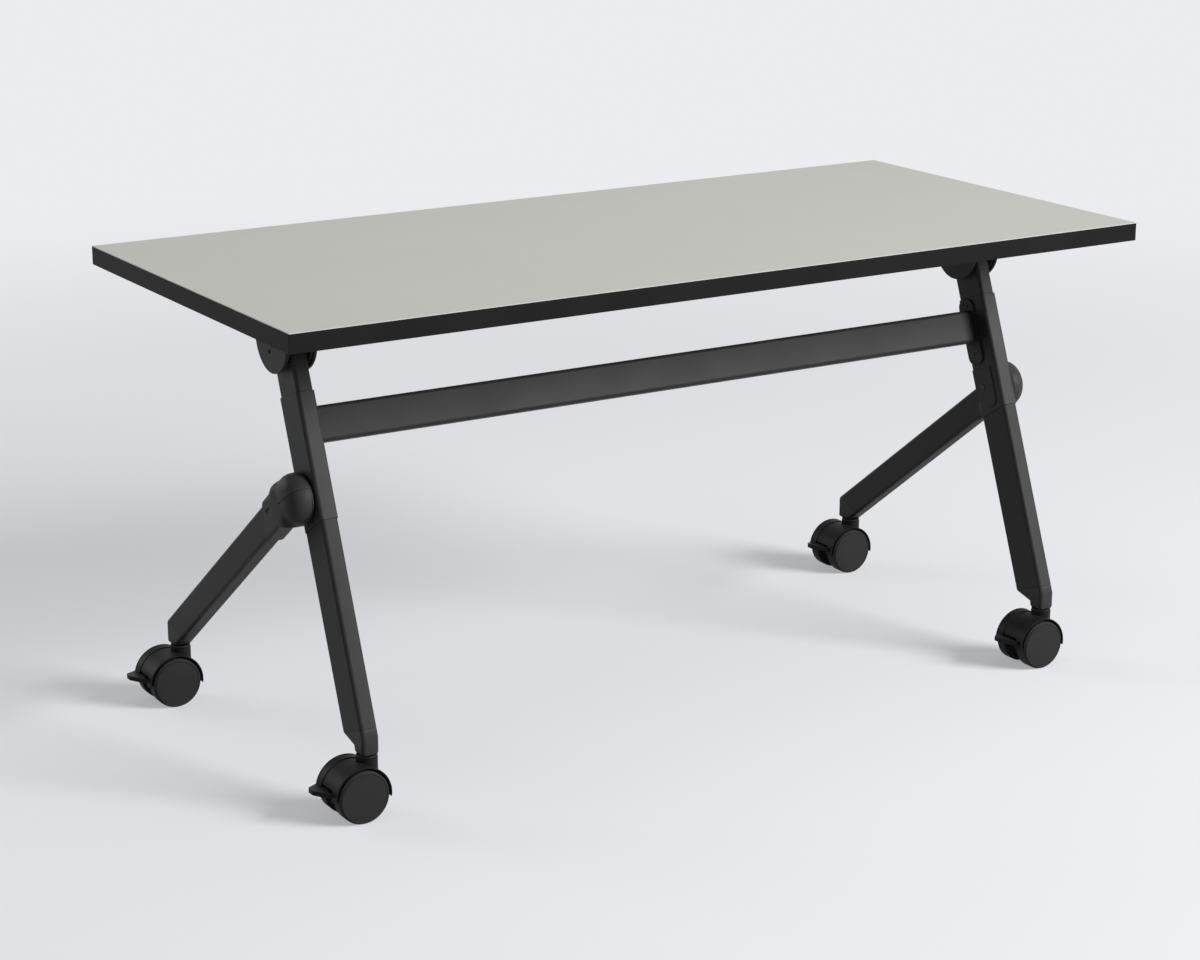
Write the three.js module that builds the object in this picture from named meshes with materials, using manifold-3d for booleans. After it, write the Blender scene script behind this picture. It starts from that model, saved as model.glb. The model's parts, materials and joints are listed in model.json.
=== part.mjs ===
// Flip top training table: a tilting top on two Y-shaped legs, a crossbar and four braked casters.
// Millimetres, +Z up, +X along the table, -Y towards the user. The origin lies on the floor, under
// the middle of the top.
import * as THREE from 'three';
import { mergeVertices } from 'three/addons/utils/BufferGeometryUtils.js';
import Module from 'manifold-3d';

const wasm = await Module();
wasm.setup();

const DEGREE = Math.PI / 180;

// Overall sizes
const TOP_LENGTH = 1500;
const TOP_DEPTH = 700;
const TABLE_HEIGHT = 735;
const LEG_INSET = 124; // a leg's middle plane in from the end of the top
const HINGE_FORWARD = 77; // hinge axis in front of the middle of the top
const FRONT_INSET = 46; // front caster stem behind the front edge
const REAR_INSET = 74; // rear caster stem in front of the rear edge

// Fits
const SEAT_GAP = 0.3; // between pieces that sit on or in one another
const PIN_CLEARANCE = 0.3; // round a turning pin
const SWING_GAP = 1.3; // between pieces that turn past one another

// Table top: a core between two sheets, with a band on each edge
const TOP_THICKNESS = 29;
const LAMINATE_THICKNESS = 1;
const BACKER_THICKNESS = 0.8;
const BAND_THICKNESS = 2;
const LAMINATE_BEVEL = 0.5;

// Tilt head: two stepped cheeks under a mounting plate, round the neck's hub
const HINGE_DROP = 44; // hinge axis below the underside of the top
const HEAD_PLATE_THICKNESS = 4;
const HEAD_PLATE_LENGTH = 120;
const HEAD_PLATE_WIDTH = 100;
const HEAD_PLATE_CORNER = 10;
const CHEEK_MARGIN = 10.24; // of a cheek round the latch pin
const CHEEK_STEP = 3.5; // the inner layer of a cheek is this much smaller
const CHEEK_LAYER = 4;
const CHEEK_GAP = 4; // between the neck and a cheek
const HINGE_PIN_RADIUS = 8;
const HINGE_PIN_PROUD = 2;

// Neck: the casting that carries the hinge pin
const NECK_SHY = 0.5; // its faces lie this much inside those of the lower leg
const HUB_RADIUS = 28;
const SHOULDER_DROP = 30; // top of the neck's square part, down the leg from the hinge
const NECK_BAND = 14; // length of the raised band below the shoulder
const NECK_BAND_PROUD = 0.8;
const NECK_SEAM = 85; // where the neck meets the upper leg
const NECK_SPIGOT_INSET = 3;
const NECK_SPIGOT_LENGTH = 30;

// Latch in the head: a pivoted lever whose tooth drops into a notch of the hub
const LATCH_PIN_OFF = 13.76; // its pin's axis off the hub's rim
const LATCH_PIN_ANGLE = 16.7 * DEGREE; // seen from the hinge axis
const LATCH_PIN_RADIUS = 3;
const LATCH_BOSS_RADIUS = 7;
const LATCH_ARM_MARGIN = 7.5; // between the arm and a cheek, where the spring sits
const LATCH_ARM_LENGTH = 28;
const LATCH_TAIL_MARGIN = 3; // between the wide end of the tail and a cheek
const LATCH_TAIL_BEHIND = 22; // middle of the tail's round end, from the latch pin
const LATCH_TAIL_DROP = 55;
const LATCH_TAIL_RADIUS = 6;
const LATCH_TOOTH_ANGLE = -25 * DEGREE; // seen from the hinge axis, with the latch released
const LATCH_TOOTH_TIP = 7;
const LATCH_TOOTH_ROOT = 11;
const LATCH_TOOTH_LENGTH = 14;
const LATCH_THROW = 14; // degrees, from released to locked
const FLIP_ANGLE = 69; // degrees, from level to folded
const NOTCH_CLEARANCE = 0.8; // round the tooth in the hub's notches
const NOTCH_STAGES = [1 / 3, 2 / 3, 1]; // shares of the throw at which a notch is cut
const SPRING_WIRE_RADIUS = 0.6;
const SPRING_TURNS = 2.5;
const SPRING_PITCH = 1.7;
const SPRING_CLEARANCE = 0.5; // from the latch pin

// Upper leg: the casting that takes the neck, the crossbar, the rear leg and the lower leg
const UPPER_LEG_PROUD = 1; // its faces lie this much outside those of the lower leg
const UPPER_LEG_END_FRONT = 272; // its lower end slants, measured down the leg from the hinge
const UPPER_LEG_END_REAR = 286;
const LEG_CORNER = 5.5;
const PIVOT_DROP = 235.4; // rear leg's bolt, down the leg from the hinge
const PIVOT_BEHIND = 11.5; // and behind the leg's middle line
const PLATE_RAISE = 1.5; // raised plate round the bolt, on the leg's inner face
const PLATE_TOP = 204.5; // its straight upper edge, down the leg from the hinge
const PLATE_BOTTOM = 270;
const PLATE_FRONT = 17; // its edges, from the leg's middle line
const PLATE_REAR = 30;
const PLATE_FRONT_CORNER = 14; // its lower corners
const PLATE_REAR_CORNER = 22;

// Lower leg and feet
const LEG_TUBE_WIDTH = 27;
const LEG_TUBE_DEPTH = 64;
const TUBE_WALL = 2;
const SPIGOT_LENGTH = 45; // every casting plugs this far into its tube
const FOOT_RISE = 31; // seam between a front foot and its tube, up the leg from the floor side
const FRONT_FOOT_OFFSET = 8.6; // stem in front of the leg's middle line at the foot
const FOOT_PAD = 30; // length of a foot's flat underside
const FOOT_CHAMFER = 4; // round a foot's underside
const FOOT_FRONT_RISE = 25; // height of the upright front of a front foot
const FOOT_HEEL_RISE = 8;
const FOOT_HEEL_LENGTH = 28;
const FOOT_HEEL_SLOPE = 7;

// Rear leg
const REAR_LEG_CLEAR = 8.5; // between its tube and the upper leg
const REAR_TUBE_WIDTH = 28;
const REAR_TUBE_DEPTH = 47;
const REAR_FOOT_OFFSET = 28; // stem in front of the leg's middle line at the foot
const REAR_FOOT_END = 16; // upright end of the foot, behind the stem
const REAR_FOOT_SEAM = 38; // seam on the leg's lower edge, in front of the stem
const REAR_FOOT_LIP = 5;
const DOME_RADIUS = 39.5;
const DOME_HEIGHT = 37.5;
const DOME_SWELL = 9; // height at which the dome is widest
const DOME_FULLNESS = 2.6; // exponent of the dome's outline, 2 for an ellipse
const SEAT_FULLNESS = 6; // and of its rounded edge against the upper leg
const COLLAR_FULLNESS = 9; // and of the collar's section
const COLLAR_PROUD = 2; // collar proud of the rear tube at its sides
const COLLAR_RISE = 3; // and above and below it
const COLLAR_END_UPPER = 58; // its slanted end, down the rear leg from the bolt
const COLLAR_END_LOWER = 88;
const BLEND_START = 10; // the dome passes into the collar between these places, down the rear leg
const BLEND_END = 46;
const BLEND_FILLET = 3; // softness of the corner between the dome's round outline and the collar
const BOLT_RADIUS = 4;
const BOLT_HEAD_RADIUS = 5.5;
const BOLT_HEAD_HEIGHT = 4;
const BOLT_HEAD_PROUD = 0.6;
const BOLT_GRIP = 26; // length of the bolt inside the dome

// Crossbar and its end flanges
const BAR_HEIGHT = 54; // along the leg
const BAR_DEPTH = 30;
const BAR_CORNER = 6;
const BAR_DROP = 132.6; // middle of the bar, down the leg
const BAR_BEHIND = 14.6;
const FLANGE_LENGTH = 110;
const FLANGE_DEPTH = 37;
const FLANGE_THICKNESS = 3;
const FLANGE_CORNER = 14;
const FLANGE_DROP = 141.4;
const FLANGE_BEHIND = 12.5;

// Caster: twin wheels under a hood, on a stem set ahead of the axle
const WHEEL_RADIUS = 40;
const WHEEL_WIDTH = 18;
const WHEEL_SPACING = 30; // between the inner faces of the two wheels
const WHEEL_EDGE = 1.6;
const CAP_INSET = 2.8; // rim of the cap inside the tread
const CAP_GROOVE_WIDTH = 1.2;
const CAP_GROOVE_DEPTH = 1;
const AXLE_RADIUS = 4;
const AXLE_END_DEPTH = 12; // of the axle in each wheel
const CASTER_TRAIL = 22; // axle behind the stem
const HOOD_WALL = 2.5;
const HOOD_RIM = 1.5;
const HOOD_RIM_WIDTH = 18;
const HOOD_SKIRT = 1.5; // the hood's lower edge below the axle, at the lever
const HOOD_SKIRT_AHEAD = 6.3; // and at the stem's side
const WEB_GAP = 1; // between the web and a wheel
const WEB_HUB_RADIUS = 14;
const WEB_END = 23; // end of the web, behind the axle
const BOSS_RADIUS = 16;
const BOSS_RISE = 9; // top of the boss above the wheels
const STEM_RADIUS = 5.5;
const STEM_FOOT_DEPTH = 24; // of the stem inside its foot
const STEM_HOOD_DEPTH = 27; // of the stem inside the hood's boss
const STEM_COLLAR_RADIUS = 15.5;
const STEM_COLLAR_HEIGHT = 3.4;
const LEVER_PIVOT_BEHIND = 24; // brake lever's barrel, behind the axle
const LEVER_PIVOT_ABOVE = 4;
const LEVER_BARREL_RADIUS = 5;
const LEVER_WIDTH = 16; // inside the hood
const PEDAL_WIDTH = 50; // outside it, where the lever starts to narrow to its tip
const PEDAL_GAP = 2; // between the pedal and the hood
const LEVER_TIP_WIDTH = 14;
const LEVER_TIP_CORNER = 5;
const LEVER_OUT = 25.2; // its tip beyond the hood's drum
const LEVER_RISE = 9;
const LEVER_THICKNESS = 8;
const LEVER_TIP_THICKNESS = 7;
const LEVER_SLOT_MARGIN = 1.5; // beside the lever, where it leaves the hood

// Facets of round faces
const ROUND_STEPS = 28;
const PIN_STEPS = 14;
const ARC_STEPS = 2;
const DOME_STEPS = 5;
const SEAT_STEPS = 3;
const BLEND_STEPS = 5; // of the skin between the dome and the collar
const COIL_STEPS = 10; // in each turn of a spring

// Places that follow from the sizes
const UNDERSIDE = TABLE_HEIGHT - TOP_THICKNESS;
const HINGE_Y = -HINGE_FORWARD;
const HINGE_Z = UNDERSIDE - HINGE_DROP;
const LEG_X = TOP_LENGTH / 2 - LEG_INSET;
const FRONT_REACH = TOP_DEPTH / 2 - FRONT_INSET;
const REAR_REACH = TOP_DEPTH / 2 - REAR_INSET;
const BOSS_TOP = 2 * WHEEL_RADIUS + BOSS_RISE;
const FOOT_HEIGHT = BOSS_TOP + STEM_COLLAR_HEIGHT + 2 * SEAT_GAP; // underside of every foot
const LEG_FALL = HINGE_Z - FOOT_HEIGHT;
const LEG_TILT = Math.atan2(FRONT_REACH - HINGE_FORWARD - FRONT_FOOT_OFFSET, LEG_FALL);
const LEG_LENGTH = LEG_FALL / Math.cos(LEG_TILT);
const FOOT_SEAM = LEG_LENGTH - FOOT_RISE;
const PIVOT = fromLeg(PIVOT_BEHIND, -PIVOT_DROP);
const REAR_TILT = Math.atan2(REAR_REACH + REAR_FOOT_OFFSET - PIVOT.y, PIVOT.z - FOOT_HEIGHT);
const NECK_WIDTH = LEG_TUBE_WIDTH - 2 * NECK_SHY;
const NECK_DEPTH = LEG_TUBE_DEPTH - 2 * NECK_SHY;
const NECK_SPIGOT_WIDTH = NECK_WIDTH - 2 * NECK_SPIGOT_INSET;
const NECK_SPIGOT_DEPTH = NECK_DEPTH - 2 * NECK_SPIGOT_INSET;
const UPPER_LEG_WIDTH = LEG_TUBE_WIDTH + 2 * UPPER_LEG_PROUD;
const UPPER_LEG_DEPTH = LEG_TUBE_DEPTH + 2 * UPPER_LEG_PROUD;
const REAR_LEG_OUTBOARD = UPPER_LEG_WIDTH / 2 + REAR_LEG_CLEAR + REAR_TUBE_WIDTH / 2;
const COLLAR_HALF_WIDTH = REAR_TUBE_WIDTH / 2 + COLLAR_PROUD;
const COLLAR_HALF_DEPTH = REAR_TUBE_DEPTH / 2 + COLLAR_RISE;
const DOME_BASE = UPPER_LEG_WIDTH / 2 + SEAT_GAP;
const HEAD_INNER = NECK_WIDTH / 2 + CHEEK_GAP;
const HEAD_OUTER = HEAD_INNER + 2 * CHEEK_LAYER;
const LATCH_PIN_DISTANCE = HUB_RADIUS + LATCH_PIN_OFF;
const LATCH_PIN_Y = LATCH_PIN_DISTANCE * Math.cos(LATCH_PIN_ANGLE); // from the hinge axis
const LATCH_PIN_Z = LATCH_PIN_DISTANCE * Math.sin(LATCH_PIN_ANGLE);
const LATCH_TAIL_Y = LATCH_PIN_Y + LATCH_TAIL_BEHIND;
const LATCH_TAIL_Z = LATCH_PIN_Z - LATCH_TAIL_DROP;
const LATCH_ARM_WIDTH = 2 * (HEAD_INNER - LATCH_ARM_MARGIN);
const LATCH_TAIL_WIDTH = 2 * (HEAD_INNER - LATCH_TAIL_MARGIN);
const CHEEK_RADIUS = LATCH_PIN_DISTANCE + CHEEK_MARGIN;
const AXLE_Z = WHEEL_RADIUS;
const CAP_RADIUS = WHEEL_RADIUS - CAP_INSET;
const HOOD_INNER = WHEEL_RADIUS + SWING_GAP;
const HOOD_OUTER = HOOD_INNER + HOOD_WALL;
const WEB_HALF_WIDTH = WHEEL_SPACING / 2 - WEB_GAP;
const HOOD_RIM_RADIUS = HOOD_OUTER + HOOD_RIM;
const LEVER_REACH = HOOD_OUTER + LEVER_OUT - LEVER_PIVOT_BEHIND; // from the barrel to the tip
const LEVER_SLOPE = LEVER_RISE / LEVER_REACH;
const LEVER_SLOT_RISE = LEVER_PIVOT_ABOVE + LEVER_THICKNESS / 2 + SWING_GAP
  + (HOOD_RIM_RADIUS - LEVER_PIVOT_BEHIND) * LEVER_SLOPE; // top of the lever's slot, above the axle

// Finishes
const BLACK_COAT = { color: 0x2b2b2d, roughness: 0.55, metalness: 0.3 };
const BLACK_CAST = { color: 0x28282a, roughness: 0.5, metalness: 0.3 };
const BLACK_PLASTIC = { color: 0x1d1d1f, roughness: 0.45, metalness: 0 };
const TREAD = { color: 0x19191a, roughness: 0.6, metalness: 0 };
const STEEL = { color: 0x8d8f92, roughness: 0.35, metalness: 1 };
const GREY_LAMINATE = { color: 0xbebeb6, roughness: 0.5, metalness: 0 };
const BAND_BLACK = { color: 0x2c2c2e, roughness: 0.6, metalness: 0 };
const CORE_BOARD = { color: 0xa98a63, roughness: 0.9, metalness: 0 };
const BACKER = { color: 0x3a3a3c, roughness: 0.7, metalness: 0 };

// A place in a main leg's own frame (behind its middle line, up from the hinge) as table y and z.
function fromLeg(behind, up) {
  return {
    y: HINGE_Y + behind * Math.cos(LEG_TILT) + up * Math.sin(LEG_TILT),
    z: HINGE_Z - behind * Math.sin(LEG_TILT) + up * Math.cos(LEG_TILT),
  };
}

// A point of the table's y, z plane seen in a frame at an origin that is turned about X.
function toFrame(origin, turn, y, z) {
  const across = y - origin.y;
  const up = z - origin.z;
  return new THREE.Vector2(
    across * Math.cos(turn) + up * Math.sin(turn),
    up * Math.cos(turn) - across * Math.sin(turn),
  );
}

// A geometry as a closed solid with its faces outward.
function solid(geometry) {
  const bare = geometry.index ? geometry.toNonIndexed() : geometry.clone();
  bare.deleteAttribute('normal');
  bare.deleteAttribute('uv');
  const merged = mergeVertices(bare, 1e-4);
  const corners = Array.from(merged.index.array);
  const kept = corners.filter((_, i) => {
    const first = i - (i % 3);
    return new Set(corners.slice(first, first + 3)).size === 3;
  });
  const close = (triangles) => new wasm.Manifold(new wasm.Mesh({
    numProp: 3,
    vertProperties: new Float32Array(merged.attributes.position.array),
    triVerts: Uint32Array.from(triangles),
  }));
  const made = close(kept);
  return made.volume() < 0 ? close(kept.reverse()) : made;
}

function join(first, ...others) {
  return others.reduce((whole, other) => whole.add(other), first);
}

function cut(first, ...others) {
  return others.reduce((whole, other) => whole.subtract(other), first);
}

// A named mesh of a finished solid.
function addPart(group, name, body, finish) {
  const made = body.getMesh();
  const geometry = new THREE.BufferGeometry();
  geometry.setAttribute('position', new THREE.BufferAttribute(made.vertProperties, 3));
  geometry.setIndex(new THREE.BufferAttribute(made.triVerts, 1));
  geometry.computeVertexNormals();
  const mesh = new THREE.Mesh(geometry, new THREE.MeshStandardMaterial(finish));
  mesh.name = name;
  group.add(mesh);
}

function roundedRect(width, height, corner) {
  const x = width / 2 - corner;
  const y = height / 2 - corner;
  const shape = new THREE.Shape();
  shape.absarc(x, y, corner, 0, Math.PI / 2);
  shape.absarc(-x, y, corner, Math.PI / 2, Math.PI);
  shape.absarc(-x, -y, corner, Math.PI, 1.5 * Math.PI);
  shape.absarc(x, -y, corner, 1.5 * Math.PI, 2 * Math.PI);
  return shape;
}

function polygon(...points) {
  return new THREE.Shape(points.map(([x, y]) => new THREE.Vector2(x, y)));
}

function extrude(shape, low, high, steps) {
  const settings = { depth: high - low, bevelEnabled: false, curveSegments: steps };
  return new THREE.ExtrudeGeometry(shape, settings).translate(0, 0, low);
}

// A section drawn in x, y and run up along Z.
function upright(shape, low, high, steps = ARC_STEPS) {
  return solid(extrude(shape, low, high, steps));
}

// An outline drawn in y, z and run along X between two places given in either order.
function acrossX(shape, from, to, steps = ARC_STEPS) {
  const geometry = extrude(shape, Math.min(from, to), Math.max(from, to), steps);
  const [x, y, z] = [[1, 0, 0], [0, 1, 0], [0, 0, 1]].map((axis) => new THREE.Vector3(...axis));
  return solid(geometry.applyMatrix4(new THREE.Matrix4().makeBasis(y, z, x)));
}

// An outline drawn in x, z and run along Y, half its width to each side.
function acrossY(shape, width, steps = ARC_STEPS) {
  return solid(extrude(shape, -width / 2, width / 2, steps).rotateX(Math.PI / 2));
}

function rod(radius, length, steps = PIN_STEPS) {
  return new THREE.CylinderGeometry(radius, radius, length, steps);
}

// Round bars along one axis, between two places on it and at two places across it.
function rodX(radius, from, to, y, z, steps) {
  const bar = rod(radius, Math.abs(to - from), steps).rotateZ(Math.PI / 2);
  return solid(bar.translate((from + to) / 2, y, z));
}

function rodY(radius, from, to, x, z, steps) {
  return solid(rod(radius, Math.abs(to - from), steps).translate(x, (from + to) / 2, z));
}

function rodZ(radius, from, to, x, y, steps) {
  const bar = rod(radius, Math.abs(to - from), steps).rotateX(Math.PI / 2);
  return solid(bar.translate(x, y, (from + to) / 2));
}

// A profile of [radius, height] points turned about Y, with a facet straight below the axis.
function turned(profile) {
  const points = profile.map(([radius, height]) => new THREE.Vector2(radius, height));
  return new THREE.LatheGeometry(points, ROUND_STEPS, Math.PI / ROUND_STEPS);
}

// A closed skin over rings that have equally many points, with its two ends filled.
function loft(rings) {
  const count = rings[0].length;
  const index = [];
  for (let start = 0; start < (rings.length - 1) * count; start += count) {
    for (let i = 0; i < count; i += 1) {
      const [a, b] = [start + i, start + ((i + 1) % count)];
      index.push(a, b, a + count, b, b + count, a + count);
    }
  }
  const last = (rings.length - 1) * count;
  for (let i = 1; i < count - 1; i += 1) {
    index.push(0, i + 1, i, last, last + i, last + i + 1);
  }
  return new THREE.BufferGeometry().setFromPoints(rings.flat()).setIndex(index);
}

// A quarter of a rounded outline, as [across, up] points from its side to its top.
function roundedQuarter(across, up, fullness, steps) {
  return Array.from({ length: steps + 1 }, (_, i) => {
    const turn = (i / steps) * Math.PI / 2;
    const along = i === steps ? 0 : Math.cos(turn) ** (2 / fullness);
    return [across * along, up * Math.sin(turn) ** (2 / fullness)];
  });
}

// A rectangular tube's section.
function tubeSection(width, depth, corner) {
  const section = roundedRect(width, depth, corner);
  const inside = corner - TUBE_WALL;
  section.holes.push(roundedRect(width - 2 * TUBE_WALL, depth - 2 * TUBE_WALL, inside));
  return section;
}

// The plug of a casting that fills the inside of such a tube.
function spigotSection(width, depth, corner) {
  const slack = 2 * (TUBE_WALL + SEAT_GAP);
  return roundedRect(width - slack, depth - slack, corner - TUBE_WALL);
}

// Table top

function buildTop(table) {
  const coreLength = TOP_LENGTH - 2 * BAND_THICKNESS;
  const coreDepth = TOP_DEPTH - 2 * BAND_THICKNESS;
  const laminateBottom = TABLE_HEIGHT - LAMINATE_THICKNESS;
  const coreBottom = UNDERSIDE + BACKER_THICKNESS;
  const board = (length, depth, low, high) => {
    const block = new THREE.BoxGeometry(length, depth, high - low);
    return block.translate(0, 0, (low + high) / 2);
  };
  addPart(table, 'top_core', solid(board(coreLength, coreDepth, coreBottom, laminateBottom)), CORE_BOARD);
  addPart(table, 'top_backer', solid(board(coreLength, coreDepth, UNDERSIDE, coreBottom)), BACKER);
  addPart(table, 'top_laminate', laminate(laminateBottom), GREY_LAMINATE);
  for (const [name, sign] of [['front', -1], ['rear', 1]]) {
    const strip = board(TOP_LENGTH, BAND_THICKNESS, UNDERSIDE, laminateBottom);
    strip.translate(0, sign * (TOP_DEPTH - BAND_THICKNESS) / 2, 0);
    addPart(table, `edge_band_${name}`, solid(strip), BAND_BLACK);
  }
  for (const [name, sign] of [['left', -1], ['right', 1]]) {
    const strip = board(BAND_THICKNESS, coreDepth, UNDERSIDE, laminateBottom);
    strip.translate(sign * (TOP_LENGTH - BAND_THICKNESS) / 2, 0, 0);
    addPart(table, `edge_band_${name}`, solid(strip), BAND_BLACK);
  }
}

// The laminate sheet, with its upper edge eased.
function laminate(bottom) {
  const inset = { bevelThickness: LAMINATE_BEVEL, bevelSize: LAMINATE_BEVEL, bevelSegments: 1 };
  const length = TOP_LENGTH - 2 * LAMINATE_BEVEL;
  const depth = TOP_DEPTH - 2 * LAMINATE_BEVEL;
  const sheet = new THREE.Shape();
  sheet.moveTo(-length / 2, -depth / 2);
  sheet.lineTo(length / 2, -depth / 2);
  sheet.lineTo(length / 2, depth / 2);
  sheet.lineTo(-length / 2, depth / 2);
  const bevelled = new THREE.ExtrudeGeometry(sheet, { depth: LAMINATE_THICKNESS, ...inset });
  const body = solid(bevelled.translate(0, 0, bottom - LAMINATE_BEVEL));
  return body.trimByPlane([0, 0, 1], bottom);
}

// Tilt head, in a frame on the hinge axis with x outboard along the side's sign

function cheekOutline(radius) {
  const top = HINGE_DROP - HEAD_PLATE_THICKNESS / 2;
  const outline = new THREE.Shape();
  outline.moveTo(radius, top);
  outline.lineTo(-radius, top);
  outline.absarc(0, 0, radius, Math.PI, 2 * Math.PI);
  return outline;
}

function headBracket() {
  const plateShape = roundedRect(HEAD_PLATE_WIDTH, HEAD_PLATE_LENGTH, HEAD_PLATE_CORNER);
  const plate = upright(plateShape, HINGE_DROP - HEAD_PLATE_THICKNESS, HINGE_DROP);
  const middle = HEAD_INNER + CHEEK_LAYER;
  const cheeks = [-1, 1].map((sign) => join(
    acrossX(cheekOutline(CHEEK_RADIUS - CHEEK_STEP), sign * HEAD_INNER, sign * middle, ROUND_STEPS / 4),
    acrossX(cheekOutline(CHEEK_RADIUS), sign * middle, sign * HEAD_OUTER, ROUND_STEPS / 4),
  ));
  const latchPin = rodX(LATCH_PIN_RADIUS, -HEAD_OUTER, HEAD_OUTER, LATCH_PIN_Y, LATCH_PIN_Z);
  const bore = rodX(HINGE_PIN_RADIUS + PIN_CLEARANCE, -HEAD_PLATE_WIDTH, HEAD_PLATE_WIDTH, 0, 0);
  return cut(join(plate, ...cheeks, latchPin), bore);
}

// A point at a distance and angle from the hinge axis, moved sideways along the arc.
function aroundHinge(angle, distance, sideways = 0) {
  return [
    distance * Math.cos(angle) - sideways * Math.sin(angle),
    distance * Math.sin(angle) + sideways * Math.cos(angle),
  ];
}

// The latch's tooth, drawn released and just off the hub, with some slack round it.
function toothOutline(slack) {
  const tip = HUB_RADIUS + SWING_GAP - slack;
  const root = HUB_RADIUS + SWING_GAP + LATCH_TOOTH_LENGTH;
  const tipHalf = LATCH_TOOTH_TIP / 2 + slack;
  const rootHalf = LATCH_TOOTH_ROOT / 2 + slack;
  return polygon(
    aroundHinge(LATCH_TOOTH_ANGLE, tip, tipHalf),
    aroundHinge(LATCH_TOOTH_ANGLE, tip, -tipHalf),
    aroundHinge(LATCH_TOOTH_ANGLE, root, -rootHalf),
    aroundHinge(LATCH_TOOTH_ANGLE, root, rootHalf),
  );
}

// The latch lever, drawn released.
function latchLever() {
  const root = HUB_RADIUS + SWING_GAP + LATCH_TOOTH_LENGTH;
  const heel = aroundHinge(LATCH_TOOTH_ANGLE, root, -LATCH_TOOTH_ROOT / 2);
  const neck = aroundHinge(LATCH_TOOTH_ANGLE, root - LATCH_TOOTH_LENGTH / 2, LATCH_TOOTH_TIP / 2);
  const arm = polygon(
    [LATCH_PIN_Y - LATCH_BOSS_RADIUS, LATCH_PIN_Z],
    neck,
    heel,
    [LATCH_PIN_Y + LATCH_BOSS_RADIUS, LATCH_PIN_Z - LATCH_ARM_LENGTH],
    [LATCH_PIN_Y + LATCH_BOSS_RADIUS, LATCH_PIN_Z],
  );
  const slope = Math.atan2(LATCH_TAIL_Z - heel[1], LATCH_TAIL_Y - heel[0]);
  const tail = new THREE.Shape();
  tail.moveTo(...heel);
  tail.absarc(LATCH_TAIL_Y, LATCH_TAIL_Z, LATCH_TAIL_RADIUS, slope - Math.PI / 2, slope + Math.PI / 2);
  tail.lineTo(...neck);
  const half = LATCH_ARM_WIDTH / 2;
  const wide = LATCH_TAIL_WIDTH / 2;
  const lever = join(
    acrossX(arm, -half, half),
    acrossX(toothOutline(0), -half, half),
    rodX(LATCH_BOSS_RADIUS, -half, half, LATCH_PIN_Y, LATCH_PIN_Z),
    cut(acrossX(tail, -wide, wide, 2 * ARC_STEPS), latchTailCuts()),
  );
  return cut(lever, rodX(LATCH_PIN_RADIUS + PIN_CLEARANCE, -wide, wide, LATCH_PIN_Y, LATCH_PIN_Z));
}

// What is cut from the tail beside the narrow arm, so that only its end is wide.
function latchTailCuts() {
  const start = LATCH_PIN_Y + LATCH_BOSS_RADIUS + LATCH_TAIL_RADIUS;
  const depth = LATCH_TAIL_WIDTH;
  const sides = [-1, 1].map((sign) => {
    const block = new THREE.BoxGeometry(depth, 2 * start, 2 * HUB_RADIUS);
    return solid(block.translate(sign * (LATCH_ARM_WIDTH + depth) / 2, 0, LATCH_TAIL_Z / 2));
  });
  return join(...sides);
}

// The least gap between the turns of a coil of wire, measured on the points that it follows.
function leastGap(points, wireRadius) {
  const gaps = points.flatMap((point, i) => points.slice(i + COIL_STEPS / 2).map(
    (other) => point.distanceTo(other) - 2 * wireRadius,
  ));
  return Math.min(...gaps);
}

// The latch's coil spring, round its pin at the lever's inboard side.
function latchSpring(side) {
  const radius = LATCH_PIN_RADIUS + SPRING_CLEARANCE + SPRING_WIRE_RADIUS;
  const start = LATCH_ARM_WIDTH / 2 + SPRING_WIRE_RADIUS + SEAT_GAP;
  const points = [];
  const steps = SPRING_TURNS * COIL_STEPS;
  for (let i = 0; i <= steps; i += 1) {
    const turn = (i / COIL_STEPS) * 2 * Math.PI;
    points.push(new THREE.Vector3(
      -side * (start + (i / COIL_STEPS) * SPRING_PITCH),
      LATCH_PIN_Y + radius * Math.cos(turn),
      LATCH_PIN_Z + radius * Math.sin(turn),
    ));
  }
  console.log(`latch spring, least gap between turns: ${leastGap(points, SPRING_WIRE_RADIUS).toFixed(2)} mm`);
  const wire = new THREE.Shape();
  wire.absarc(0, 0, SPRING_WIRE_RADIUS, 0, 2 * Math.PI);
  const path = new THREE.CatmullRomCurve3(points);
  const settings = { steps, extrudePath: path, curveSegments: 2, bevelEnabled: false };
  return solid(new THREE.ExtrudeGeometry(wire, settings));
}

// Main leg, in a frame on the hinge axis with z up along the leg and y behind it

function neck() {
  const section = roundedRect(NECK_WIDTH, NECK_DEPTH, LEG_CORNER);
  const proud = 2 * NECK_BAND_PROUD;
  const band = roundedRect(NECK_WIDTH + proud, NECK_DEPTH + proud, LEG_CORNER + NECK_BAND_PROUD);
  const spigot = roundedRect(NECK_SPIGOT_WIDTH, NECK_SPIGOT_DEPTH, LEG_CORNER);
  const half = NECK_WIDTH / 2;
  const body = join(
    upright(section, -NECK_SEAM, -SHOULDER_DROP),
    upright(band, -SHOULDER_DROP - NECK_BAND, -SHOULDER_DROP),
    upright(spigot, -NECK_SEAM - NECK_SPIGOT_LENGTH, -NECK_SEAM),
    rodX(HUB_RADIUS, -half, half, 0, 0, ROUND_STEPS),
    hubWeb(),
  );
  const bore = rodX(HINGE_PIN_RADIUS + PIN_CLEARANCE, -NECK_DEPTH, NECK_DEPTH, 0, 0);
  return cut(body, bore, notch(0), notch(FLIP_ANGLE));
}

// The tapering web between the hub and the shoulder.
function hubWeb() {
  const half = NECK_DEPTH / 2;
  const web = polygon([-half, -SHOULDER_DROP], [half, -SHOULDER_DROP], [HUB_RADIUS, 0], [-HUB_RADIUS, 0]);
  return acrossX(web, -NECK_WIDTH / 2, NECK_WIDTH / 2);
}

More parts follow.
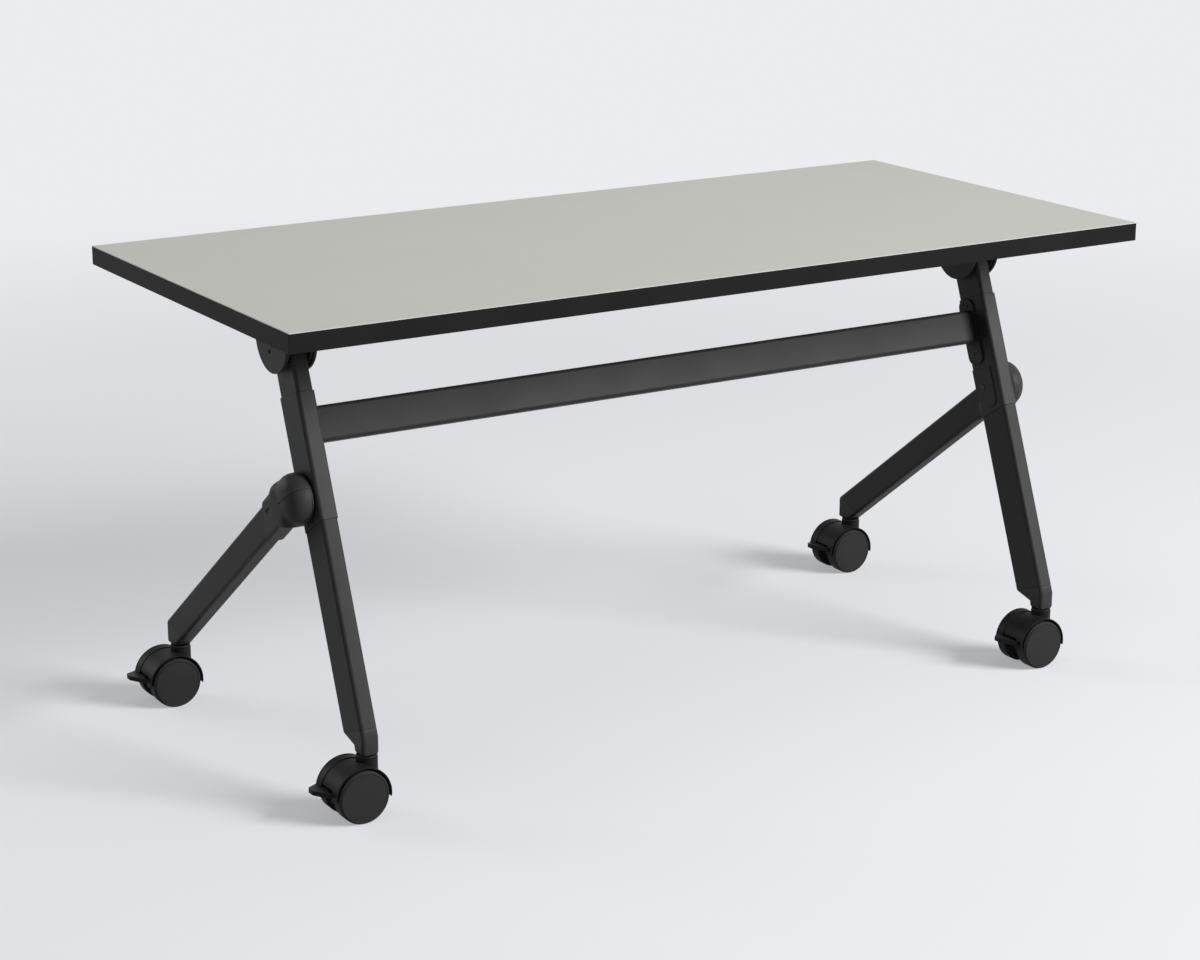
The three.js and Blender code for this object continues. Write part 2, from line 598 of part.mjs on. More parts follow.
// A notch of the hub, seen in the leg's frame: what the tooth sweeps as it swings in, with the top
// turned by an angle.
function notch(flip) {
  const released = acrossX(toothOutline(NOTCH_CLEARANCE), -NECK_WIDTH, NECK_WIDTH);
  const onPin = released.translate(0, -LATCH_PIN_Y, -LATCH_PIN_Z);
  const stages = NOTCH_STAGES.map((share) => {
    const swung = onPin.rotate([-share * LATCH_THROW, 0, 0]).translate(0, LATCH_PIN_Y, LATCH_PIN_Z);
    return swung.rotate([flip + LEG_TILT / DEGREE, 0, 0]);
  });
  return join(...stages);
}

// The slanted joint between the upper and lower leg: its upward normal and its place.
function legJointPlane() {
  const normal = new THREE.Vector3(0, UPPER_LEG_END_REAR - UPPER_LEG_END_FRONT, UPPER_LEG_DEPTH).normalize();
  const middle = -(UPPER_LEG_END_FRONT + UPPER_LEG_END_REAR) / 2;
  return { normal, place: middle * normal.z };
}

function upperLeg(side) {
  const { normal, place } = legJointPlane();
  const section = roundedRect(UPPER_LEG_WIDTH, UPPER_LEG_DEPTH, LEG_CORNER);
  const long = upright(section, -2 * UPPER_LEG_END_REAR, -NECK_SEAM - SEAT_GAP);
  const inner = -side * UPPER_LEG_WIDTH / 2;
  const plate = acrossX(
    plateOutline(),
    inner + side * PLATE_RAISE,
    inner - side * PLATE_RAISE,
    2 * ARC_STEPS,
  );
  const spigot = upright(
    spigotSection(LEG_TUBE_WIDTH, LEG_TUBE_DEPTH, LEG_CORNER),
    -UPPER_LEG_END_REAR - SPIGOT_LENGTH,
    -UPPER_LEG_END_FRONT,
  );
  const body = join(
    long.trimByPlane(normal.toArray(), place),
    plate,
    spigot,
  );
  const slack = 2 * SEAT_GAP;
  const socket = upright(
    roundedRect(NECK_SPIGOT_WIDTH + slack, NECK_SPIGOT_DEPTH + slack, LEG_CORNER),
    -NECK_SEAM - NECK_SPIGOT_LENGTH - SEAT_GAP,
    -NECK_SEAM + SEAT_GAP,
  );
  return cut(body, socket, boltRoom(side));
}

// The raised plate: straight above, with two round corners below.
function plateOutline() {
  const outline = new THREE.Shape();
  const corner = (behind, radius, start) => outline.absarc(
    behind,
    radius - PLATE_BOTTOM,
    radius,
    start,
    start + Math.PI / 2,
  );
  outline.moveTo(PLATE_REAR, -PLATE_TOP);
  outline.lineTo(-PLATE_FRONT, -PLATE_TOP);
  corner(PLATE_FRONT_CORNER - PLATE_FRONT, PLATE_FRONT_CORNER, Math.PI);
  corner(PLATE_REAR - PLATE_REAR_CORNER, PLATE_REAR_CORNER, 1.5 * Math.PI);
  return outline;
}

// Bolt of the rear leg: its head lies in the raised plate, its shank ends inside the dome.
function boltPlaces(side) {
  const face = -side * (UPPER_LEG_WIDTH / 2 + PLATE_RAISE);
  return {
    outerEnd: face - side * BOLT_HEAD_PROUD,
    headSeat: face + side * BOLT_HEAD_HEIGHT,
    tip: side * (UPPER_LEG_WIDTH / 2 + BOLT_GRIP),
  };
}

function knuckleBolt(side) {
  const { outerEnd, headSeat, tip } = boltPlaces(side);
  return join(
    rodX(BOLT_HEAD_RADIUS, outerEnd, headSeat, PIVOT_BEHIND, -PIVOT_DROP),
    rodX(BOLT_RADIUS, outerEnd, tip, PIVOT_BEHIND, -PIVOT_DROP),
  );
}

function boltRoom(side) {
  const { outerEnd, headSeat, tip } = boltPlaces(side);
  const seat = headSeat + side * SEAT_GAP;
  return join(
    rodX(BOLT_HEAD_RADIUS + SEAT_GAP, outerEnd - side, seat, PIVOT_BEHIND, -PIVOT_DROP),
    rodX(BOLT_RADIUS + SEAT_GAP, outerEnd, tip + side * SEAT_GAP, PIVOT_BEHIND, -PIVOT_DROP),
  );
}

function lowerLeg() {
  const { normal, place } = legJointPlane();
  const section = tubeSection(LEG_TUBE_WIDTH, LEG_TUBE_DEPTH, LEG_CORNER);
  const long = upright(section, -FOOT_SEAM + SEAT_GAP, 0);
  return long.trimByPlane(normal.clone().negate().toArray(), SEAT_GAP - place);
}

function frontFoot() {
  const hinge = { y: HINGE_Y, z: HINGE_Z };
  const place = (y, z) => toFrame(hinge, -LEG_TILT, y, z);
  const half = LEG_TUBE_DEPTH / 2;
  const rearSeam = fromLeg(half, -FOOT_SEAM);
  const toe = -FRONT_REACH - FOOT_PAD / 2;
  const heel = -FRONT_REACH + FOOT_PAD / 2;
  const outline = new THREE.Shape([
    new THREE.Vector2(-half, -FOOT_SEAM),
    place(toe, FOOT_HEIGHT + FOOT_FRONT_RISE),
    place(toe, FOOT_HEIGHT + FOOT_CHAMFER),
    place(toe + FOOT_CHAMFER, FOOT_HEIGHT),
    place(heel - FOOT_CHAMFER, FOOT_HEIGHT),
    place(heel, FOOT_HEIGHT + FOOT_CHAMFER),
    place(heel, FOOT_HEIGHT + FOOT_HEEL_RISE),
    place(Math.min(heel + FOOT_HEEL_LENGTH, rearSeam.y), FOOT_HEIGHT + FOOT_HEEL_RISE + FOOT_HEEL_SLOPE),
    new THREE.Vector2(half, -FOOT_SEAM),
  ]);
  const shell = acrossX(outline, -LEG_TUBE_WIDTH / 2, LEG_TUBE_WIDTH / 2);
  const rounded = upright(roundedRect(LEG_TUBE_WIDTH, LEG_TUBE_DEPTH, LEG_CORNER), -2 * LEG_LENGTH, 0);
  const chamfered = footEnvelope(LEG_TUBE_WIDTH, hinge, -LEG_TILT);
  const spigot = upright(
    spigotSection(LEG_TUBE_WIDTH, LEG_TUBE_DEPTH, LEG_CORNER),
    -FOOT_SEAM,
    -FOOT_SEAM + SPIGOT_LENGTH,
  );
  const bore = stemBore(hinge, -LEG_TILT, 0, -FRONT_REACH);
  return cut(join(shell.intersect(rounded).intersect(chamfered), spigot), bore);
}

// The outline of a foot seen from the front, chamfered below, as a long bar in the frame of a leg.
function footEnvelope(width, origin, turn) {
  const half = width / 2;
  const outline = polygon(
    [half - FOOT_CHAMFER, FOOT_HEIGHT],
    [half, FOOT_HEIGHT + FOOT_CHAMFER],
    [half, TABLE_HEIGHT],
    [-half, TABLE_HEIGHT],
    [-half, FOOT_HEIGHT + FOOT_CHAMFER],
    [FOOT_CHAMFER - half, FOOT_HEIGHT],
  );
  const bar = extrude(outline, -TOP_DEPTH, TOP_DEPTH, ARC_STEPS).rotateX(Math.PI / 2);
  return solid(bar.translate(0, -origin.y, -origin.z).rotateX(-turn));
}

// The bore of a foot for its caster stem, seen in the frame of a leg.
function stemBore(origin, turn, stemX, stemY) {
  const top = FOOT_HEIGHT + STEM_FOOT_DEPTH + SEAT_GAP;
  const bore = rod(STEM_RADIUS + SEAT_GAP, top).rotateX(Math.PI / 2).translate(stemX, stemY, top / 2);
  return solid(bore.translate(0, -origin.y, -origin.z).rotateX(-turn));
}

// Rear leg, in a frame on the knuckle bolt with z up along the leg and y on its upper side

// The dome's outline from its seat on the upper leg over its widest place to its crown, as
// [radius, height] points.
function domeOutline() {
  const seat = roundedQuarter(DOME_RADIUS, DOME_SWELL, SEAT_FULLNESS, SEAT_STEPS);
  const crown = roundedQuarter(DOME_RADIUS, DOME_HEIGHT - DOME_SWELL, DOME_FULLNESS, DOME_STEPS);
  return [
    ...seat.reverse().map(([radius, drop]) => [radius, DOME_SWELL - drop]),
    ...crown.slice(1).map(([radius, rise]) => [radius, DOME_SWELL + rise]),
  ];
}

// A ring of the skin that passes from the dome into the collar, at a place down the rear leg.
function knuckleRing(side, drop) {
  const eased = THREE.MathUtils.smoothstep(drop, BLEND_START, BLEND_END);
  const between = (dome, collar) => dome + (collar - dome) * eased;
  const middle = between(DOME_BASE + DOME_SWELL, REAR_LEG_OUTBOARD);
  const round = Math.sqrt(Math.max(DOME_RADIUS ** 2 - drop ** 2, 0));
  const apart = Math.hypot(round - COLLAR_HALF_DEPTH, BLEND_FILLET * eased);
  const half = (round + COLLAR_HALF_DEPTH + apart) / 2;
  const outward = roundedQuarter(
    half,
    between(DOME_HEIGHT - DOME_SWELL, COLLAR_HALF_WIDTH),
    between(DOME_FULLNESS, COLLAR_FULLNESS),
    DOME_STEPS,
  );
  const inward = roundedQuarter(
    half,
    between(DOME_SWELL, COLLAR_HALF_WIDTH),
    between(SEAT_FULLNESS, COLLAR_FULLNESS),
    SEAT_STEPS,
  ).map(([across, out]) => [across, -out]);
  const mirrored = (quarter) => quarter.slice(1, -1).reverse().map(([across, out]) => [-across, out]);
  const outline = [
    ...outward,
    ...mirrored(outward),
    [-half, 0],
    ...mirrored(inward).reverse(),
    ...inward.slice(1).reverse(),
  ];
  return outline.map(([across, out]) => new THREE.Vector3(side * (middle + out), across, -drop));
}

// The collar's slanted end: the normal that points up the leg, and its place.
function collarEndPlane() {
  const slant = COLLAR_END_LOWER - COLLAR_END_UPPER;
  const normal = new THREE.Vector3(0, -slant, 2 * COLLAR_HALF_DEPTH).normalize();
  return { normal, place: -normal.z * (COLLAR_END_UPPER + COLLAR_END_LOWER) / 2 };
}

// The upper half of the dome, the skin that passes from it into the collar, and a spigot for the tube.
function rearKnuckle(side) {
  const round = turned(domeOutline()).rotateZ(-side * Math.PI / 2);
  const dome = solid(round.translate(side * DOME_BASE, 0, 0)).trimByPlane([0, 0, 1], 0);
  const rings = [knuckleRing(side, 0)];
  for (let i = 0; i <= BLEND_STEPS; i += 1) {
    rings.push(knuckleRing(side, THREE.MathUtils.lerp(BLEND_START, BLEND_END, i / BLEND_STEPS)));
  }
  rings.push(knuckleRing(side, 2 * COLLAR_END_LOWER));
  const { normal, place } = collarEndPlane();
  const spigot = upright(
    spigotSection(REAR_TUBE_WIDTH, REAR_TUBE_DEPTH, LEG_CORNER),
    -COLLAR_END_LOWER - SPIGOT_LENGTH,
    -COLLAR_END_UPPER,
  );
  const body = join(
    dome,
    solid(loft(rings)).trimByPlane(normal.toArray(), place),
    spigot.translate(side * REAR_LEG_OUTBOARD, 0, 0),
  );
  const tip = side * (UPPER_LEG_WIDTH / 2 + BOLT_GRIP + SEAT_GAP);
  return cut(body, rodX(BOLT_RADIUS + SEAT_GAP, 0, tip, 0, 0));
}

// The two ends of the slanted seam of a rear foot, and its other corners.
function rearFootCorners() {
  const place = (y, z) => toFrame(PIVOT, REAR_TILT, y, z);
  const half = REAR_TUBE_DEPTH / 2;
  const end = REAR_REACH + REAR_FOOT_END;
  const seam = REAR_REACH - REAR_FOOT_SEAM;
  const heightAt = (y, offset) => PIVOT.z
    + (offset - (y - PIVOT.y) * Math.cos(REAR_TILT)) / Math.sin(REAR_TILT);
  return {
    top: place(end, heightAt(end, half)),
    bottom: place(end, FOOT_HEIGHT),
    toe: place(REAR_REACH - FOOT_PAD / 2 - REAR_FOOT_LIP / 2, FOOT_HEIGHT),
    lip: place(REAR_REACH - FOOT_PAD / 2 - REAR_FOOT_LIP, FOOT_HEIGHT + REAR_FOOT_LIP),
    seam: place(seam, heightAt(seam, -half)),
  };
}

// The plane of the slanted seam: the normal that points up the leg, and its place.
function rearSeamPlane() {
  const { top, seam } = rearFootCorners();
  const normal = new THREE.Vector3(0, seam.y - top.y, top.x - seam.x).normalize();
  return { normal, place: normal.y * top.x + normal.z * top.y };
}

function rearTube(side) {
  const seam = rearSeamPlane();
  const end = collarEndPlane();
  const section = tubeSection(REAR_TUBE_WIDTH, REAR_TUBE_DEPTH, LEG_CORNER);
  const tube = upright(section, -2 * LEG_LENGTH, 0)
    .trimByPlane(seam.normal.toArray(), seam.place + SEAT_GAP)
    .trimByPlane(end.normal.negate().toArray(), SEAT_GAP - end.place);
  return tube.translate(side * REAR_LEG_OUTBOARD, 0, 0);
}

function rearFoot(side) {
  const { top, bottom, toe, lip, seam } = rearFootCorners();
  const half = REAR_TUBE_WIDTH / 2;
  const shell = acrossX(new THREE.Shape([top, seam, lip, toe, bottom]), -half, half);
  const chamfered = footEnvelope(REAR_TUBE_WIDTH, PIVOT, REAR_TILT);
  const spigot = upright(
    spigotSection(REAR_TUBE_WIDTH, REAR_TUBE_DEPTH, LEG_CORNER),
    Math.min(top.y, seam.y) - SEAT_GAP,
    Math.max(top.y, seam.y) + SPIGOT_LENGTH,
  );
  const { normal, place } = rearSeamPlane();
  const plug = spigot.trimByPlane(normal.toArray(), place - TUBE_WALL);
  const bore = stemBore(PIVOT, REAR_TILT, 0, REAR_REACH);
  const body = cut(join(shell.intersect(chamfered), plug), bore);
  return body.translate(side * REAR_LEG_OUTBOARD, 0, 0);
}

function buildLeg(table, name, side) {
  const head = new THREE.Group();
  head.position.set(side * LEG_X, HINGE_Y, HINGE_Z);
  addPart(head, `head_bracket_${name}`, headBracket(), BLACK_CAST);
  addPart(head, `latch_lever_${name}`, latchLever(), BLACK_PLASTIC);
  addPart(head, `latch_spring_${name}`, latchSpring(side), STEEL);
  const pinEnd = HEAD_OUTER + HINGE_PIN_PROUD;
  addPart(head, `hinge_pin_${name}`, rodX(HINGE_PIN_RADIUS, -pinEnd, pinEnd, 0, 0), STEEL);

  const leg = new THREE.Group();
  leg.position.copy(head.position);
  leg.rotation.x = -LEG_TILT;
  addPart(leg, `neck_${name}`, neck(), BLACK_CAST);
  addPart(leg, `upper_leg_${name}`, upperLeg(side), BLACK_CAST);
  addPart(leg, `knuckle_bolt_${name}`, knuckleBolt(side), STEEL);
  addPart(leg, `lower_leg_${name}`, lowerLeg(), BLACK_COAT);
  addPart(leg, `front_foot_${name}`, frontFoot(), BLACK_CAST);
  addPart(leg, `bar_flange_${name}`, barFlange(side), BLACK_COAT);

  const rear = new THREE.Group();
  rear.position.set(side * LEG_X, PIVOT.y, PIVOT.z);
  rear.rotation.x = REAR_TILT;
  addPart(rear, `rear_knuckle_${name}`, rearKnuckle(side), BLACK_CAST);
  addPart(rear, `rear_leg_${name}`, rearTube(side), BLACK_COAT);
  addPart(rear, `rear_foot_${name}`, rearFoot(side), BLACK_CAST);
  table.add(head, leg, rear);
}

// Crossbar

function barFlange(side) {
  const shape = roundedRect(FLANGE_DEPTH, FLANGE_LENGTH, FLANGE_CORNER);
  const inner = UPPER_LEG_WIDTH / 2 + SEAT_GAP;
  const plate = acrossX(shape, -side * inner, -side * (inner + FLANGE_THICKNESS));
  return plate.translate(0, FLANGE_BEHIND, -FLANGE_DROP);
}

function buildCrossbar(table) {
  const end = LEG_X - UPPER_LEG_WIDTH / 2 - FLANGE_THICKNESS - 2 * SEAT_GAP;
  const section = tubeSection(BAR_DEPTH, BAR_HEIGHT, BAR_CORNER);
  const bar = new THREE.Group();
  bar.position.set(0, HINGE_Y, HINGE_Z);
  bar.rotation.x = -LEG_TILT;
  const tube = acrossX(section, -end, end).translate(0, BAR_BEHIND, -BAR_DROP);
  addPart(bar, 'crossbar', tube, BLACK_COAT);
  table.add(bar);
}

// Caster, in a frame on the floor under its stem

function wheel(sign) {
  const inner = WHEEL_SPACING / 2;
  const outer = inner + WHEEL_WIDTH;
  const groove = CAP_RADIUS + CAP_GROOVE_WIDTH;
  const tread = WHEEL_RADIUS / Math.cos(Math.PI / ROUND_STEPS); // its facets lie at the wheel's radius
  const bore = AXLE_RADIUS + PIN_CLEARANCE;
  const profile = [
    [0, outer],
    [CAP_RADIUS, outer],
    [CAP_RADIUS, outer - CAP_GROOVE_DEPTH],
    [groove, outer - CAP_GROOVE_DEPTH],
    [tread, outer - CAP_GROOVE_DEPTH - WHEEL_EDGE],
    [tread, inner],
    [bore, inner],
    [bore, inner + AXLE_END_DEPTH + SEAT_GAP],
    [0, inner + AXLE_END_DEPTH + SEAT_GAP],
  ];
  const sided = profile.map(([radius, across]) => [radius, sign * across]);
  return solid(turned(sided).translate(-CASTER_TRAIL, 0, AXLE_Z));
}

function casterAxle() {
  const end = WHEEL_SPACING / 2 + AXLE_END_DEPTH;
  return rodY(AXLE_RADIUS, -end, end, -CASTER_TRAIL, AXLE_Z);
}

// The hood's half drum over both wheels, with a rim at each end.
function hoodDrum() {
  const rim = HOOD_RIM_RADIUS;
  const end = WHEEL_SPACING / 2 + WHEEL_WIDTH;
  const rimStart = end - HOOD_RIM_WIDTH;
  const profile = [
    [HOOD_INNER, -end],
    [rim, -end],
    [rim, -rimStart],
    [HOOD_OUTER, -rimStart],
    [HOOD_OUTER, rimStart],
    [rim, rimStart],
    [rim, end],
    [HOOD_INNER, end],
    [HOOD_INNER, -end],
  ];
  const edge = new THREE.Vector3(HOOD_SKIRT_AHEAD - HOOD_SKIRT, 0, 2 * rim).normalize();
  return solid(turned(profile)).trimByPlane(edge.toArray(), -rim * edge.x - HOOD_SKIRT * edge.z);
}

// The web between the wheels: it carries the axle, the stem's boss and the lever's barrel.
function hoodWeb() {
  const radius = HOOD_INNER + HOOD_WALL / 2;
  const width = 2 * WEB_HALF_WIDTH;
  const disc = new THREE.Shape();
  disc.absarc(0, 0, radius, 0, Math.PI);
  const upper = acrossY(disc, width, ROUND_STEPS / 4).trimByPlane([1, 0, 0], -WEB_END);
  return join(upper, rodY(WEB_HUB_RADIUS, -WEB_HALF_WIDTH, WEB_HALF_WIDTH, 0, 0));
}

// The hood, drawn about its axle and then set in place.
function casterHood() {
  const boss = rodZ(BOSS_RADIUS, WHEEL_RADIUS / 2, BOSS_TOP - AXLE_Z, CASTER_TRAIL, 0, PIN_STEPS);
  const wheelRoom = [-1, 1].map((sign) => rodY(
    HOOD_INNER,
    sign * WEB_HALF_WIDTH,
    sign * (WHEEL_SPACING + WHEEL_WIDTH),
    0,
    0,
    ROUND_STEPS,
  ));
  const stemBottom = BOSS_TOP - STEM_HOOD_DEPTH - AXLE_Z - SEAT_GAP;
  const stemRoom = rodZ(STEM_RADIUS + PIN_CLEARANCE, stemBottom, BOSS_TOP, CASTER_TRAIL, 0);
  const axleRoom = rodY(AXLE_RADIUS + SEAT_GAP, -WHEEL_SPACING, WHEEL_SPACING, 0, 0);
  const body = cut(
    join(hoodDrum(), hoodWeb(), cut(boss, ...wheelRoom)),
    stemRoom,
    axleRoom,
    leverRoom(),
  );
  return body.translate(-CASTER_TRAIL, 0, AXLE_Z);
}

// The lever's seat in the web, and the slot in the drum where it comes out.
function leverRoom() {
  const seat = rodY(
    LEVER_BARREL_RADIUS + PIN_CLEARANCE,
    -WHEEL_SPACING / 2,
    WHEEL_SPACING / 2,
    -LEVER_PIVOT_BEHIND,
    LEVER_PIVOT_ABOVE,
  );
  const slotWidth = LEVER_WIDTH + 2 * LEVER_SLOT_MARGIN;
  const slotHeight = LEVER_SLOT_RISE + 2 * HOOD_SKIRT;
  const slot = new THREE.BoxGeometry(WHEEL_RADIUS, slotWidth, slotHeight);
  const behind = LEVER_PIVOT_BEHIND + LEVER_BARREL_RADIUS + WHEEL_RADIUS / 2;
  return join(seat, solid(slot.translate(-behind, 0, LEVER_SLOT_RISE - slotHeight / 2)));
}

function casterStem() {
  const collarBottom = BOSS_TOP + SEAT_GAP;
  const collarTop = FOOT_HEIGHT - SEAT_GAP;
  return join(
    rodZ(STEM_RADIUS, BOSS_TOP - STEM_HOOD_DEPTH, FOOT_HEIGHT + STEM_FOOT_DEPTH, 0, 0),
    rodZ(STEM_COLLAR_RADIUS, collarBottom, collarTop, 0, 0),
  );
}

// The brake lever: a barrel in the web and, outside the hood, a broad pedal that narrows to its tip.
function brakeLever() {
  const half = LEVER_THICKNESS / 2;
  const tipHalf = LEVER_TIP_THICKNESS / 2;
  const side = polygon(
    [0, half],
    [-LEVER_REACH, LEVER_RISE + tipHalf],
    [-LEVER_REACH, LEVER_RISE - tipHalf],
    [0, -half],
  );
  const plan = new THREE.Shape();
  const root = LEVER_PIVOT_BEHIND - HOOD_RIM_RADIUS - PEDAL_GAP;
  plan.moveTo(0, -LEVER_WIDTH / 2);
  plan.lineTo(0, LEVER_WIDTH / 2);
  plan.lineTo(root, LEVER_WIDTH / 2);
  plan.lineTo(root, PEDAL_WIDTH / 2);
  const tipX = LEVER_TIP_CORNER - LEVER_REACH;
  const tipY = LEVER_TIP_WIDTH / 2 - LEVER_TIP_CORNER;
  plan.absarc(tipX, tipY, LEVER_TIP_CORNER, Math.PI / 2, Math.PI);
  plan.absarc(tipX, -tipY, LEVER_TIP_CORNER, Math.PI, 1.5 * Math.PI);
  plan.lineTo(root, -PEDAL_WIDTH / 2);
  plan.lineTo(root, -LEVER_WIDTH / 2);
  const paddle = acrossY(side, PEDAL_WIDTH).intersect(upright(plan, -LEVER_REACH, LEVER_REACH));
  const barrel = rodY(LEVER_BARREL_RADIUS, -LEVER_WIDTH / 2, LEVER_WIDTH / 2, 0, 0);
  const lever = join(paddle, barrel);
  return lever.translate(-CASTER_TRAIL - LEVER_PIVOT_BEHIND, 0, AXLE_Z + LEVER_PIVOT_ABOVE);
}

function buildCaster(table, name, x, y) {
  const caster = new THREE.Group();
  caster.position.set(x, y, 0);
  addPart(caster, `caster_stem_${name}`, casterStem(), STEEL);
  addPart(caster, `caster_hood_${name}`, casterHood(), BLACK_PLASTIC);
  addPart(caster, `caster_axle_${name}`, casterAxle(), STEEL);
  addPart(caster, `wheel_1_${name}`, wheel(-1), TREAD);
  addPart(caster, `wheel_2_${name}`, wheel(1), TREAD);
  addPart(caster, `brake_lever_${name}`, brakeLever(), BLACK_PLASTIC);
  table.add(caster);
}

const table = new THREE.Group();
buildTop(table);
buildCrossbar(table);
for (const [name, side] of [['left', -1], ['right', 1]]) {
  buildLeg(table, name, side);
  buildCaster(table, `front_${name}`, side * LEG_X, -FRONT_REACH);
  buildCaster(table, `rear_${name}`, side * (LEG_X + REAR_LEG_OUTBOARD), REAR_REACH);
}

export default table;
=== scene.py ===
import json
import math

import bmesh
import bpy
from bpy.props import FloatProperty, FloatVectorProperty, PointerProperty
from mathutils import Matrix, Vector

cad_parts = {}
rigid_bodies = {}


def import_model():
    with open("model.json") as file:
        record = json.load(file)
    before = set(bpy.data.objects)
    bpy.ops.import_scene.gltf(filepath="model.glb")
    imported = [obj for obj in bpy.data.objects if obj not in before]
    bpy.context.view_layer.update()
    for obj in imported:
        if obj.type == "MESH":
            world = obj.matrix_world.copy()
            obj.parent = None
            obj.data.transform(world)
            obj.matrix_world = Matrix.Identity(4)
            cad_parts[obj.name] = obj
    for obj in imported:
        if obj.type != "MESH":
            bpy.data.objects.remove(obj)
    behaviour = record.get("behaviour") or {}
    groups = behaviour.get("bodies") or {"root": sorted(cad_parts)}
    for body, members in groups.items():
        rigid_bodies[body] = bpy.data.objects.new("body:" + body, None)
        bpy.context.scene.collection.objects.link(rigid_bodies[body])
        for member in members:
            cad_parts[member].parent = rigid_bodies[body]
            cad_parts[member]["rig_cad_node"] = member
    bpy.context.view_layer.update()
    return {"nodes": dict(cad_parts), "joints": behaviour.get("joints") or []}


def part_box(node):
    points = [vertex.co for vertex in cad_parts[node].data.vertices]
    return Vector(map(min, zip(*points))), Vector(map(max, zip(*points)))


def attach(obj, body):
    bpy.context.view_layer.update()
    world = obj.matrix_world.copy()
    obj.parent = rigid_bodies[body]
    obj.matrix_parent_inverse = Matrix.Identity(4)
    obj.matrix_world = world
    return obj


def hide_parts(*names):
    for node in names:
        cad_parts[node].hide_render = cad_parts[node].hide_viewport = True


bl_info = {
    "name": "Flip Top Training Table",
    "version": (1, 0, 0),
    "blender": (4, 5, 0),
    "location": "View3D > Sidebar > Table",
    "description": "Models and finishes a flip top training table round its packed frame",
    "category": "Object",
}

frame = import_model()

MM = 0.001
SIDES = {"left": -1, "right": 1}
CASTERS = ("front_left", "front_right", "rear_left", "rear_right")
JOINTS = {joint["name"]: joint for joint in frame["joints"]}


def joint_place(name):
    """A joint's place in the frame."""
    return Vector(JOINTS[name]["pos_m"])


def middle_of(node):
    """The middle of a CAD node's box."""
    low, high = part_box(node)
    return (low + high) / 2


# Places that the frame gives
HINGE = joint_place("top_flip")
LEG_X = middle_of("neck_right").x
REAR_LEG_X = middle_of("rear_leg_right").x
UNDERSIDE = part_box("top_backer")[0].z
FOOT_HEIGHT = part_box("front_foot_right")[0].z
PIVOT = middle_of("knuckle_bolt_right")
FRONT_STEM_Y = joint_place("caster_front_right_swivel").y
REAR_STEM_Y = joint_place("caster_rear_right_swivel").y
AXLE = joint_place("wheel_1_front_right_spin")
TRAIL = joint_place("caster_front_right_swivel").x - AXLE.x
LEVER_PIVOT = joint_place("brake_front_right_press")
LATCH_PIN = joint_place("latch_right_pull") - HINGE
LATCH_THROW = math.radians(JOINTS["latch_right_pull"]["range_deg"][0])
TOP_FLIP = [math.radians(limit) for limit in JOINTS["top_flip"]["range_deg"]]

# Fits
SEAT_GAP = 0.3 * MM
PIN_CLEARANCE = 0.3 * MM
SWING_GAP = 1.3 * MM
TUBE_WALL = 2 * MM
PLUG_LENGTH = 45 * MM

# Tilt head, from the hinge axis
PLATE_THICKNESS = 4 * MM
PLATE_LENGTH = 120 * MM
PLATE_WIDTH = 100 * MM
PLATE_CORNER = 10 * MM
CHEEK_RADIUS = 52 * MM
CHEEK_STEP = 3.5 * MM
CHEEK_LAYER = 4 * MM
CHEEK_INNER = 17 * MM
HINGE_PIN_RADIUS = 8 * MM
HINGE_PIN_PROUD = 2 * MM
LATCH_PIN_RADIUS = 3 * MM
LATCH_REACH = 64 * MM
TOOTH_ANGLE = math.radians(-25)
TOOTH_TIP = 7 * MM
TOOTH_ROOT = 11 * MM
TOOTH_LENGTH = 14 * MM
TOOTH_SLACK = 0.8 * MM
TOOTH_STAGES = 3
CHEEK_HOLES = ((5.4 * MM, -20.9 * MM, 3.4 * MM), (-9.1 * MM, -10.4 * MM, 2.2 * MM))
PLATE_SCREW_X = 38 * MM
PLATE_SCREW_Y = 46 * MM

# Main leg, down from the hinge axis
LEG_WIDTH = 27 * MM
LEG_DEPTH = 64 * MM
NECK_SHY = 0.5 * MM
UPPER_PROUD = 1 * MM
HUB_RADIUS = 28 * MM
SHOULDER_DROP = 30 * MM
BAND_LENGTH = 14 * MM
BAND_PROUD = 0.8 * MM
NECK_SEAM = 85 * MM
UPPER_END_FRONT = 272 * MM
UPPER_END_REAR = 286 * MM
BOSS_PLATE_RAISE = 1.5 * MM
BOSS_PLATE_TOP = 204.5 * MM
BOSS_PLATE_BOTTOM = 270 * MM
BOSS_PLATE_FRONT = 17 * MM
BOSS_PLATE_REAR = 30 * MM
BOSS_PLATE_FRONT_CORNER = 14 * MM
BOSS_PLATE_REAR_CORNER = 22 * MM
BOLT_RADIUS = 4 * MM
BOLT_HEAD_RADIUS = 5.5 * MM
BOLT_HEAD_HEIGHT = 4 * MM
BOLT_GRIP = 26 * MM
FRONT_FOOT_OFFSET = 8.6 * MM
FOOT_RISE = 31 * MM
FOOT_PAD = 30 * MM
FOOT_CHAMFER = 4 * MM
FOOT_HEEL_RISE = 8 * MM
FOOT_HEEL_SLOPE = math.atan2(7, 28)

